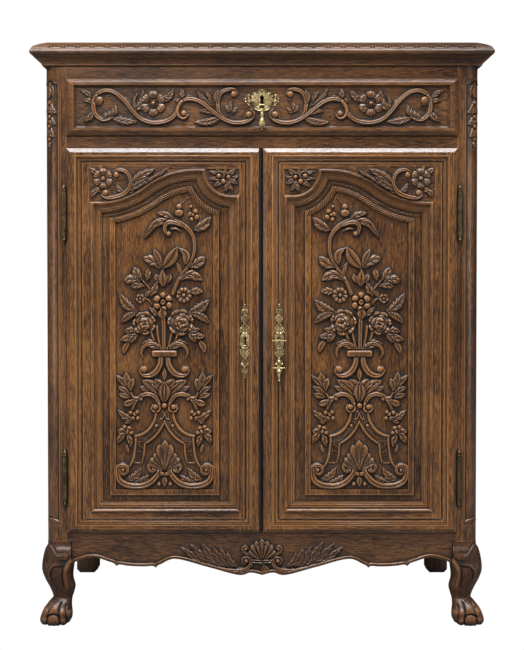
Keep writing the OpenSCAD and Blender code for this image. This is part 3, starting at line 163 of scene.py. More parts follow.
def oak(name, grain, light, mid, dark, shift=0.0, rough=0.33, carved=False, wear_and_highlight=0.65, shade_and_patina=1.0, specks=0.3,
        gloss=1.0, meeting_shadow=False, keyhole=None):
    """Waxed oak, with painted shade and dark patina in its hollows and gaps, and painted highlight with worn wood on
    its crests and edges. grain is the axis of its length, 0, 1 or 2. keyhole is the hole's x, z and the y of its
    floor, and the hole's inside is painted near-black as shade.
    """
    wood = Finish(name, rough)
    long = [1.0, 1.0, 1.0]
    long[grain] = 0.08
    board = wood.add("Mapping", {"Vector": wood.place, "Location": (shift, 1.7 * shift, 0.6 * shift),
                                 "Scale": tuple(long)})
    drift = wood.noise(wood.place, 4.0, 3, 0.55, 0.6)
    band = wood.noise(board, 38, 3, 0.6, 0.4)
    streak = wood.noise(board, 470, 4, 0.68, 0.3)
    line = wood.noise(board, 820, 3, 0.6, 0.2)
    pore = wood.noise(board, 1050, 2, 0.5)
    speck = wood.noise(wood.place, 240, 1, 0.5)
    tone = drift * 0.20 + band * 0.13 + streak * 0.42 + line * 0.25
    colour = wood.add("ValToRGB", {"Fac": tone}, stops=((0.435, dark), (0.500, mid), (0.580, light)))
    colour = wood.mixed(pore.between(0.43, 0.33) * 0.65, colour, tuple(0.30 * c for c in dark))
    colour = wood.mixed(speck.between(0.73, 0.80) * specks, colour, (0.42, 0.34, 0.26))
    # Painted shade with dark patina: hollows, grooves and the gaps between parts are darkened toward a quarter of the
    # dark tone. The same colour paints the shadow where the doors meet.
    shade_and_patina_colour = tuple(0.25 * c for c in dark)
    wide = wood.hollow(0.024, 0.97, 0.60, samples=8)
    close = wood.hollow(0.006, 0.97, 0.58, samples=8)
    recess = wood.add("Math", {0: wide * 0.80, 1: close}, operation="MAXIMUM")
    if carved:
        relief = wood.add("Attribute", attribute_name="relief", out="Fac")
        shade = wood.add("Attribute", attribute_name="shade", out="Fac")
        # Painted shade: ground and forms are darker where the carving is dense.
        colour = wood.mixed(shade * 0.70, colour, (0.040, 0.0235, 0.0135))
        # Painted shade in the carving's hollows as well.
        recess = wood.add("Math", {0: recess * 0.9, 1: relief.between(-0.05, -0.55)}, operation="MAXIMUM")
        # Painted highlight with worn wood: the carving's crests are lighter.
        crest = relief.between(0.08, 0.75) * (0.55 + streak * 0.6)
        colour = wood.mixed(crest * wear_and_highlight, colour, tuple(1.5 * c for c in light))
    else:
        # Painted highlight with worn wood: convex edges and rolls are lighter.
        edge_wear_and_highlight = wood.hollow(0.0035, 0.96, 0.60, samples=6, inside=True)
        colour = wood.mixed(edge_wear_and_highlight * (0.1 + streak) * wear_and_highlight, colour, tuple(1.7 * c for c in light))
    # Painted shade and dark patina, laid into the colour where the surface is shut in.
    colour = wood.mixed(recess * (0.92 * shade_and_patina), colour, shade_and_patina_colour)
    if meeting_shadow or keyhole:
        across, inward, upward = (wood.add("SeparateXYZ", {"Vector": wood.place}, out=k) for k in (0, 1, 2))
    # Painted shadow: a dark strip along the lock stiles where the two doors meet.
    if meeting_shadow:
        colour = wood.mixed(across.between(-0.0085, -0.0060) * across.between(0.0036, 0.0026) * 0.9, colour, shade_and_patina_colour)
    # Painted shade: the inside of the keyhole is near black.
    if keyhole:
        x, z, back = keyhole
        beside = across.math("ABSOLUTE", across.math("ABSOLUTE", across) - x).between(0.0060, 0.0054)
        above = across.math("ABSOLUTE", upward - z).between(0.0125, 0.0115)
        inside = beside * above * inward.between(back - 0.0020, back - 0.0008)
        colour = wood.mixed(inside * 0.98, colour, (0.002, 0.0015, 0.001))
    wood.put("Base Color", colour)
    wood.put("Specular IOR Level", 0.5 * gloss)
    wood.put("Coat Weight", 0.32 * gloss)
    wood.put("Coat Roughness", 0.22)
    wood.put("Roughness", rough + 0.20 * recess + 0.14 * (streak - 0.5) + 0.1 * pore.between(0.40, 0.30))
    grain_bump = wood.bump(pore.between(0.28, 0.44) * 0.6 + line * 0.5, 0.00035, 0.7)
    wood.put("Normal", wood.bump(wood.noise(wood.place, 60, 2, 0.5), 0.0010, 0.28, grain_bump))
    return wood.material


# Light, middle and dark tone of the grain
WAXED = (0.275, 0.115, 0.034), (0.124, 0.048, 0.0145), (0.021, 0.0082, 0.0034)
BARE = (0.50, 0.335, 0.185), (0.36, 0.225, 0.118), (0.20, 0.118, 0.060)
case_up = oak("oak_case_upright", 2, *WAXED, 0.31)
case_across = oak("oak_case_across", 0, *WAXED, 0.77, keyhole=(0.0, 1.2512, -0.2281))
case_deep = oak("oak_case_fore_and_aft", 1, *WAXED, 0.12)
door_up = oak("oak_door_upright", 2, (0.340, 0.146, 0.042), (0.152, 0.060, 0.0172), (0.026, 0.0100, 0.0040), 0.53,
              meeting_shadow=True, keyhole=(0.0405, 0.6812, -0.2330))
door_across = oak("oak_door_across", 0, (0.330, 0.141, 0.041), (0.146, 0.057, 0.0165), (0.025, 0.0097, 0.0039), 0.91)
panel_up = oak("oak_panel", 2, (0.320, 0.136, 0.040), (0.140, 0.055, 0.0162), (0.025, 0.0097, 0.0040), 1.4,
               carved=True)
carved_across = oak("oak_carved_across", 0, (0.290, 0.121, 0.036), (0.126, 0.048, 0.0145), (0.022, 0.0086, 0.0036),
                    2.1, carved=True)
post_carved = oak("oak_post_carved", 2, *WAXED, 0.31, carved=True)
top_across = oak("oak_top", 0, (0.205, 0.092, 0.036), (0.105, 0.045, 0.017), (0.034, 0.015, 0.0070), 1.1, rough=0.30)
dark_across = oak("oak_dark_across", 0, (0.215, 0.090, 0.030), (0.094, 0.037, 0.0130), (0.019, 0.0078, 0.0038), 0.6,
                  carved=True)
leg_oak = oak("oak_dark", 2, (0.170, 0.072, 0.028), (0.074, 0.029, 0.012), (0.022, 0.0095, 0.0046), 0.4, rough=0.42,
              carved=True, gloss=0.6)
# Painted shade: the back posts get a darker copy of the oak, as they stand in shadow.
rear_oak_shaded = oak("oak_rear_shaded", 2, (0.130, 0.060, 0.027), (0.060, 0.028, 0.014), (0.022, 0.011, 0.0065), 0.4, rough=0.42)
# Painted shade: near-black pads on the top's twisted edge stand for the shade in its gouge cuts.
cut_shade_oak = oak("oak_cut_shade", 0, (0.020, 0.012, 0.008), (0.009, 0.006, 0.004), (0.004, 0.003, 0.002), 0.4, rough=0.9,
              wear_and_highlight=0.0, specks=0.0, gloss=0.05)
inside_up = oak("oak_inside_upright", 2, *BARE, 3.3, rough=0.6)
inside_across = oak("oak_inside_across", 0, *BARE, 3.9, rough=0.6)
inside_deep = oak("oak_inside_fore_and_aft", 1, *BARE, 4.4, rough=0.6)


def aged_metal(name, bright, dull, metal, rough):
    """Handled metal: bright where it is rubbed, dull and brown in its hollows."""
    cast = Finish(name, rough, metal)
    cloud = cast.noise(cast.place, 70, 4, 0.6, 0.8)
    fine = cast.noise(cast.place, 630, 2, 0.5)
    hollow = cast.hollow(0.004, 0.95, 0.45, samples=8)
    tone = cast.add("ValToRGB", {"Fac": cloud}, stops=((0.36, dull), (0.62, bright)))
    tone = cast.mixed(hollow * 0.70, tone, tuple(0.30 * c for c in dull))
    cast.put("Base Color", tone)
    cast.put("Roughness", rough + 0.35 * hollow + 0.3 * (cloud - 0.5))
    cast.put("Normal", cast.bump(cloud * 0.6 + fine * 0.4, 0.0005, 0.35))
    return cast.material


brass = aged_metal("brass", (0.86, 0.68, 0.36), (0.34, 0.25, 0.10), 0.75, 0.34)
old_brass = aged_metal("brass_dark", (0.20, 0.15, 0.07), (0.055, 0.040, 0.022), 0.8, 0.36)
iron = aged_metal("iron", (0.22, 0.21, 0.20), (0.07, 0.055, 0.045), 0.85, 0.48)

FINISH = {
    top_across: ["top_board"],
    case_across: ["cornice_front", "frieze_rail", "drawer_rail", "drawer_front"],
    case_deep: ["cornice_left", "cornice_right", "side_top_rail_left", "side_top_rail_right",
                "side_bottom_rail_left", "side_bottom_rail_right"],
    case_up: ["post_front_left", "post_front_right", "side_panel_left", "side_panel_right"],
    door_up: ["door_left_hinge_stile", "door_left_lock_stile", "door_right_hinge_stile", "door_right_lock_stile",
              "door_left_panel", "door_right_panel"],
    door_across: ["door_left_top_rail", "door_left_bottom_rail", "door_right_top_rail", "door_right_bottom_rail"],
    leg_oak: ["leg_front_left", "leg_front_right"],
    dark_across: ["apron"],
    rear_oak_shaded: ["post_back_left", "post_back_right"],
    inside_up: ["back_boards"],
    inside_across: ["back_rails", "shelf_lower", "shelf_upper", "dust_board", "drawer_back", "drawer_bottom"],
    inside_deep: ["bottom_boards", "shelf_cleats", "drawer_runners", "drawer_kickers", "drawer_stops",
                  "drawer_side_left", "drawer_side_right"],
    old_brass: ["hinge_pins_left", "hinge_pins_right", "door_left_hinge_barrels", "door_right_hinge_barrels"],
    brass: ["door_left_escutcheon", "door_right_escutcheon", "drawer_escutcheon", "drawer_pull", "door_pull"],
    iron: ["flush_bolt_plates", "flush_bolt_upper", "flush_bolt_lower", "door_lock_case", "door_lock_bolt",
           "drawer_lock_case", "drawer_lock_bolt"],
}
for finish, names in FINISH.items():
    for name in names:
        nodes[name].data.materials.clear()
        nodes[name].data.materials.append(finish)


# ---------------------------------------------------------------- carving
def smooth(t):
    t = np.clip(t, 0, 1)
    return t * t * (3 - 2 * t)


def curve(points, steps=8):
    """A smooth line through the given points."""
    p = np.array(points, float)
    p = np.vstack([2 * p[0] - p[1], p, 2 * p[-1] - p[-2]])
    t = np.arange(steps)[:, None] / steps
    runs = [0.5 * (2 * b + (c - a) * t + (2 * a - 5 * b + 4 * c - d) * t * t + (3 * b - a - 3 * c + d) * t ** 3)
            for a, b, c, d in zip(p, p[1:], p[2:], p[3:])]
    return np.vstack(runs + [p[-2:-1]])


def volute(centre, start, end, from_angle, to_angle, steps=26):
    """Points of a spiral. Angles are in degrees, clockwise from the right as the drawing is seen."""
    a = np.radians(np.linspace(from_angle, to_angle, steps))
    r = np.linspace(start, end, steps)
    return np.stack([centre[0] + r * np.cos(a), centre[1] + r * np.sin(a)], 1)


def nearest(line, u, v):
    """Distance to a line, share of its length at the nearest place, and the side, -1 or 1."""
    steps = np.linalg.norm(np.diff(line, axis=0), axis=1)
    run = np.concatenate([[0], np.cumsum(steps)]) / steps.sum()
    best, share, side = np.full(u.shape, 1e9), np.zeros(u.shape), np.ones(u.shape)
    for a, b, s0, s1, length in zip(line, line[1:], run, run[1:], steps):
        d = (b - a) / max(length, 1e-9)
        x, y = u - a[0], v - a[1]
        t = np.clip(x * d[0] + y * d[1], 0, length)
        away = np.hypot(x - t * d[0], y - t * d[1])
        closer = away < best
        best[closer] = away[closer]
        share[closer] = (s0 + (s1 - s0) * t / max(length, 1e-9))[closer]
        side[closer] = np.where(d[0] * y - d[1] * x >= 0, 1, -1)[closer]
    return best, share, side


def blurred(field, reach):
    """A field softened over so many cells each way."""
    for axis in (0, 1):
        for _ in range(2):
            padded = np.concatenate([np.repeat(field.take([0], axis), reach + 1, axis), field,
                                     np.repeat(field.take([-1], axis), reach, axis)], axis)
            total = np.cumsum(padded, axis)
            n = field.shape[axis]
            field = (total.take(range(2 * reach + 1, 2 * reach + 1 + n), axis)
                     - total.take(range(0, n), axis)) / (2 * reach + 1)
    return field


def rounded(q):
    return 0.35 + 0.65 * np.sqrt(1 - 0.96 * q * q)


# Height across a stem, from its middle, 0, to its edge, 1
SECTION = {
    "round": rounded,
    "grooved": lambda q: rounded(q) - 0.30 * np.exp(-(q / 0.2) ** 2),
    "twin": lambda q: 0.45 + 0.42 * np.abs(np.sin(q * 2.9)) + 0.12 * (1 - q * q),
    "cove": lambda q: np.where(q < 0.62, 0.45 + 0.42 * smooth((q - 0.1) / 0.52),
                               0.87 - 0.5 * smooth((q - 0.72) / 0.28)),
}


class Relief:
    """A carved surface: heights in millimetres over the drawing. Later forms lie over earlier ones."""

    def __init__(self, u0, u1, v0, v1, step=0.46, axis=None, rows=None, full=1.0):
        self.u = np.linspace(u0, u1, int(round((u1 - u0) / step)) + 1)
        self.v = np.linspace(v0, v1, int(round((v1 - v0) / step)) + 1) if rows is None else np.array(rows)
        self.U, self.V = np.meshgrid(self.u, self.v)
        self.h = np.zeros_like(self.U)
        self.axis, self.full = axis, full

    def copies(self, points):
        """The form and, where the carving is symmetrical, its mirror image."""
        points = np.atleast_2d(np.array(points, float))
        yield points, 1
        if self.axis is not None:
            yield np.stack([2 * self.axis - points[:, 0], points[:, 1]], 1), -1

    def window(self, points, reach):
        (a, c), (b, d) = points.min(0) - reach, points.max(0) + reach
        return (slice(*np.searchsorted(self.v, (c, d))), slice(*np.searchsorted(self.u, (a, b))))

    def lay(self, where, inside, form, cut=0.75):
        """Lays a form over what is there. inside is the distance within its outline."""
        under = self.h[where]
        under = under - cut * np.minimum(under, 1.5) * smooth(1 + inside / 0.9) * (under > 0.3)
        rise = smooth(inside / 0.42 + 0.15)
        self.h[where] = under * (1 - rise) + form * rise

    def stem(self, points, width, top, section="round", steps=8):
        width, top = np.atleast_1d(width) * self.full ** 0.6, np.atleast_1d(top).astype(float)
        for line, _ in self.copies(curve(points, steps)):
            where = self.window(line, width.max() / 2 + 1.2)
            away, share, _ = nearest(line, self.U[where], self.V[where])
            half = np.interp(share, np.linspace(0, 1, len(width)), width) / 2
            high = np.interp(share, np.linspace(0, 1, len(top)), top)
            self.lay(where, half - away, high * SECTION[section](np.clip(away / half, 0, 1)))

    def leaf(self, base, tip, width, top, bend=0.0, teeth=4, depth=0.22, widest=0.45, slant=0.22, vein=1.4, curl=0.0):
        """A leaf with a midrib, teeth that point to its tip, and a vein to each tooth."""
        base, tip, width = np.array(base, float), np.array(tip, float), width * self.full
        along = tip - base
        middle = (base + tip) / 2 + bend * np.array([-along[1], along[0]])
        power = math.log(0.5) / math.log(widest)
        for line, _ in self.copies(curve([base, middle, tip], 9)):
            where = self.window(line, width / 2 + 1.2)
            away, share, side = nearest(line, self.U[where], self.V[where])
            tooth = (teeth * share + (side > 0) * 0.35) % 1
            lobe = tooth ** 0.6 * (1 - smooth((tooth - 0.82) / 0.18)) if teeth else 1
            half = width / 2 * np.sin(math.pi * np.clip(share, 0.002, 0.998) ** power) ** 0.75
            half = np.maximum(half * (1 - depth * (1 - lobe)), 0.35)
            q = np.clip(away / half, 0, 1)
            form = top * (0.62 + 0.16 * np.sin(math.pi * share) + curl * share
                          + 0.24 * (1 - ((q - 0.45) / 0.62) ** 2))
            form -= 0.36 * top * np.exp(-(q / 0.12) ** 2) + 0.09 * top * (1 + np.cos(5 * math.pi * q)) * smooth(3 * q)
            if teeth:
                phase = (teeth * (share + slant * (1 - q)) + (side > 0) * 0.35) % 1
                line_gap = np.minimum(phase, 1 - phase)
                form -= vein * np.exp(-(line_gap / 0.13) ** 2) * smooth(q * 2.5)
            self.lay(where, half - away, form)

    def petals(self, centre, r, count, top, turn=0.0, notch=0.3, eye=0.28, cup=0.4, ruffle=0.0):
        """An open flower: cupped petals round a ball."""
        for (point,), flip in self.copies([centre]):
            where = self.window(point[None], r + 1.2)
            x, y = (self.U[where] - point[0]) * flip, self.V[where] - point[1]
            rho, phi = np.hypot(x, y) / r, np.arctan2(y, x) - math.radians(turn)
            lobe = np.abs(np.cos(count * phi / 2))
            edge = (1 - notch) + notch * lobe ** 0.55 + ruffle * np.sin(3 * count * phi)
            form = top * (0.42 + cup * np.exp(-((rho - 0.72) / 0.26) ** 2) * (0.55 + 0.45 * lobe))
            form -= 0.42 * top * (1 - lobe) ** 4 * smooth((rho - 0.2) / 0.2)
            form -= 0.10 * top * np.abs(np.sin(2 * count * phi)) * smooth((rho - 0.3) / 0.2)
            self.lay(where, (edge - rho) * r, form)
            self.ball_at(point, eye * r, top * 0.95, moat=0.3)

    def ball_at(self, point, r, top, moat=0.0, stretch=1.0):
        where = self.window(np.array(point, float)[None], r * max(1, stretch) + 1.5)
        x, y = (self.U[where] - point[0]) / stretch, self.V[where] - point[1]
        rho = np.hypot(x, y) / r
        self.h[where] -= moat * top * np.exp(-((rho - 1.15) / 0.22) ** 2)
        self.lay(where, (1 - rho) * r, top * (0.45 + (1 - 0.45) * np.sqrt(np.clip(1 - rho ** 2, 0, 1))))

    def ball(self, centre, r, top, moat=0.0, stretch=1.0):
        for (point,), _ in self.copies([centre]):
            self.ball_at(point, r, top, moat, stretch)

    def pit(self, centre, r, depth):
        for (point,), _ in self.copies([centre]):
            where = self.window(point[None], 2.2 * r)
            rho = np.hypot(self.U[where] - point[0], self.V[where] - point[1]) / r
            self.h[where] -= depth * np.exp(-rho ** 2)

    def rose(self, centre, r, top, turn=0.0, mouth=(0.0, 0.0)):
        """A full rose: a ruffled collar under rounded petals that overlap toward its mouth."""
        cx, cy = centre
        where = self.window(np.array([[cx, cy]], float), r + 1.2)
        x, y = self.U[where] - cx, self.V[where] - cy
        rho, phi = np.hypot(x, y) / r, np.arctan2(y, x) - math.radians(turn)
        frill = np.abs(np.cos(3.5 * phi))
        form = top * (0.28 + 0.34 * smooth((rho - 0.58) / 0.3) * (0.4 + 0.6 * frill) - 0.06 * np.cos(21 * phi))
        form -= 0.25 * top * (1 - frill) ** 3 * smooth((rho - 0.6) / 0.2)
        self.lay(where, (0.90 + 0.10 * frill - rho) * r, form)
        petals = ((200, 0.20, 0.56, 0.62), (330, 0.22, 0.54, 0.70), (80, 0.20, 0.52, 0.78),
                  (235, 0.15, 0.42, 0.88), (10, 0.14, 0.38, 0.94), (120, 0.10, 0.30, 1.0))
        for step, (angle, away, size, high) in enumerate(petals):
            a = math.radians(angle + turn)
            px = x / r - away * math.cos(a) - 0.5 * mouth[0] * step / 5
            py = y / r - away * math.sin(a) - 0.5 * mouth[1] * step / 5
            q = np.hypot(px, py) / size
            crease = 0.10 * np.cos(4 * np.arctan2(py, px) + step) * smooth(q)
            dome = 0.62 + 0.38 * np.sqrt(np.clip(1 - q ** 2, 0, 1)) + crease
            self.lay(where, (1 - q) * size * r, top * high * dome)
        self.pit((cx + (0.5 * mouth[0]) * r, cy + (0.5 * mouth[1]) * r), 0.12 * r, 0.45 * top)

    def shell(self, base, tip, spread, ribs, top, fall=0.45, groove=0.35):
        """A fan of ribs from the base."""
        base, tip = np.array(base, float), np.array(tip, float)
        length = np.linalg.norm(tip - base)
        lean = math.atan2(tip[0] - base[0], -(tip[1] - base[1]))
        where = self.window(np.vstack([base - length, base + length]), 1)
        x, y = self.U[where] - base[0], self.V[where] - base[1]
        rho, phi = np.hypot(x, y) / length, np.arctan2(x, -y) - lean
        half = math.radians(spread)
        rib = np.abs(np.cos(math.pi * ribs * (phi + half) / (2 * half) + math.pi / 2))
        edge = (1 - fall * np.clip(np.abs(phi) / half, 0, 1) ** 1.4) * (0.86 + 0.14 * rib ** 0.6)
        inside = np.minimum((edge - rho) * length, (half - np.abs(phi)) * rho * length + 0.2)
        form = top * (0.45 + groove * rib ** 0.8 + 0.2 * smooth((rho / edge - 0.4) / 0.4)) - 0.15 * top * rho
        self.lay(where, inside, form)

    def plate(self, outline, top, roll=1.4, flat=0.5):
        """A form with a drawn outline and rounded shoulders."""
        for line, _ in self.copies(outline):
            where = self.window(line, 1.5)
            u, v = self.U[where], self.V[where]
            closed = np.vstack([line, line[:1]])
            away, _, _ = nearest(closed, u, v)
            odd = np.zeros(u.shape, bool)
            for (au, av), (bu, bv) in zip(closed, closed[1:]):
                crosses = (av > v) != (bv > v)
                odd ^= crosses & (u < (bu - au) * (v - av) / (bv - av + 1e-12) + au)
            inside = np.where(odd, away, -away)
            self.lay(where, inside, top * (flat + (1 - flat) * np.sqrt(1 - (1 - np.clip(inside / roll, 0, 1)) ** 2)))

    def tooled(self, seed, depth=0.16):
        """The marks of the gouge on the ground, and softened crests."""
        chance = np.random.default_rng(seed).normal(size=self.h.shape)
        marks = blurred(chance, 2)
        self.h += depth * marks / (np.abs(marks).max() + 1e-9) * 2.2 * (self.h < 0.6)
        self.h += 0.22 * blurred(chance, 1) / 1.2 * (self.h > 0.6)


def mark(mesh, tag, values):
    mesh.attributes.new(tag, "FLOAT", "POINT").data.foreach_set("value", np.ravel(values).astype(np.float32))


def turn_outward(mesh):
    work = bmesh.new()
    work.from_mesh(mesh)
    bmesh.ops.recalc_face_normals(work, faces=work.faces)
    work.to_mesh(mesh)
    work.free()
    mesh.shade_smooth()


def fitted(name, mesh, body):
    """The object of a finished mesh, on its body."""
    made = bpy.data.objects.new(name, mesh)
    scene.collection.objects.link(made)
    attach(made, body)
    return made


def piece(name, points, faces, body, finish, marks=None):
    """A closed mesh from points and faces, that rides on a body."""
    mesh = bpy.data.meshes.new(name)
    mesh.from_pydata(np.reshape(points, (-1, 3)).tolist(), [], faces)
    for tag, values in (marks or {}).items():
        mark(mesh, tag, values)
    turn_outward(mesh)
    mesh.materials.append(finish)
    return fitted(name, mesh, body)


def tube(rings, closed=False):
    """Faces of a skin over rings of points, capped at both ends unless the rings close on themselves."""
    n, m = rings.shape[:2]
    index = np.arange(n * m).reshape(n, m)
    if closed:
        index = np.vstack([index, index[:1]])
    a, b = index[:-1], index[1:]
    faces = np.stack([a, b, np.roll(b, -1, 1), np.roll(a, -1, 1)], -1).reshape(-1, 4).tolist()
    return faces if closed else faces + [index[0].tolist(), index[-1][::-1].tolist()]


def board(name, relief, level, body, slot, finish, keep=None, flip=1, back=3.0, rows=slice(None), gain=1.45,
          metal=False):
    """A closed carved board from a relief, its ground so many millimetres in front of the case's face."""
    # Painted shade: the shade mark darkens the ground near raised forms, and the forms a little. The relief mark
    # darkens hollows as painted shade and lightens crests as painted highlight with worn wood.
    near = np.clip(1.6 * blurred((relief.h > 0.7).astype(float), 9), 0, 1)
    shade = np.where(relief.h > 0.7, 0.50 * near, near)
    crest = np.clip((relief.h - blurred(relief.h, 4)) / 1.7, -1, 1) * 0.65 \
        + np.clip((relief.h - blurred(relief.h, 1)) / 0.35, -1, 1) * 0.35
    U, V, H, crest, shade = relief.U[rows], relief.V[rows], relief.h[rows], crest[rows], shade[rows]
    H = np.where(H > 0, gain * H, H)
    n, m = U.shape
    points = front_point(U, V, level + H, flip).reshape(-1, 3)
    index = np.arange(n * m).reshape(n, m)
    quads = np.stack([index[:-1, :-1], index[1:, :-1], index[1:, 1:], index[:-1, 1:]], -1)
    if metal:
        quads = quads[(np.minimum(H[:-1, :-1], H[1:, 1:]) > 0.25) & (np.minimum(H[1:, :-1], H[:-1, 1:]) > 0.25)]
    else:
        quads = quads[keep(U, V)[:-1, :-1]] if keep else quads.reshape(-1, 4)
    if flip < 0:
        quads = quads[:, ::-1]
    mesh = bpy.data.meshes.new(name)
    mesh.from_pydata(points, [], quads.tolist())
    mark(mesh, "relief", crest)
    mark(mesh, "shade", shade)
    work = bmesh.new()
    work.from_mesh(mesh)
    bmesh.ops.delete(work, geom=[p for p in work.verts if not p.link_faces], context="VERTS")
    rim = [e for e in work.edges if e.is_boundary]
    for edge in rim:
        edge.smooth = False
    sides = bmesh.ops.extrude_edge_only(work, edges=rim)["geom"]
    for point in [g for g in sides if isinstance(g, bmesh.types.BMVert)]:
        point.co.y = (FACE - level + back) / 1000
    bmesh.ops.holes_fill(work, edges=[e for e in work.edges if e.is_boundary], sides=0)
    bmesh.ops.recalc_face_normals(work, faces=work.faces)
    work.to_mesh(mesh)
    work.free()
    mesh.shade_smooth()
    mesh.materials.append(finish)
    return fitted(name, mesh, body)


# The arch over a door panel: the roll's crest, and the edge of the panel's ground below it
ARCH_X0, ARCH_X1, ARCH_R, ARCH_LOW, ARCH_HIGH = -392.4, -158.4, 195.0, 1006.5, 1084.5
QUARTER, QUARTER_R = (-73.9, 1086.0), 64.5


def arch_height(x, offset=0.0):
    """Height of the line that lies offset millimetres below the roll's crest, at the left door."""
    x = np.asarray(x, float)
    low_r, high_r = ARCH_R + offset, ARCH_R - offset
    turn = 0.6
    z = np.full(x.shape, ARCH_LOW - offset)
    rise = x > ARCH_X0
    z = np.where(rise, ARCH_LOW + ARCH_R - np.sqrt(np.maximum(low_r ** 2 - (x - ARCH_X0) ** 2, 0)), z)
    z = np.where(x > ARCH_X0 + turn * low_r,
                 ARCH_HIGH - ARCH_R + np.sqrt(np.maximum(high_r ** 2 - (ARCH_X1 - x) ** 2, 0)), z)
    z = np.where(x > ARCH_X1, ARCH_HIGH - offset, z)
    reach = QUARTER_R + offset
    under = QUARTER[1] - np.sqrt(np.maximum(reach ** 2 - (x - QUARTER[0]) ** 2, 0))
    z = np.where(np.abs(x - QUARTER[0]) < reach, np.minimum(z, np.where(x < QUARTER[0], under, QUARTER[1] - reach)),
                 z)
    return z


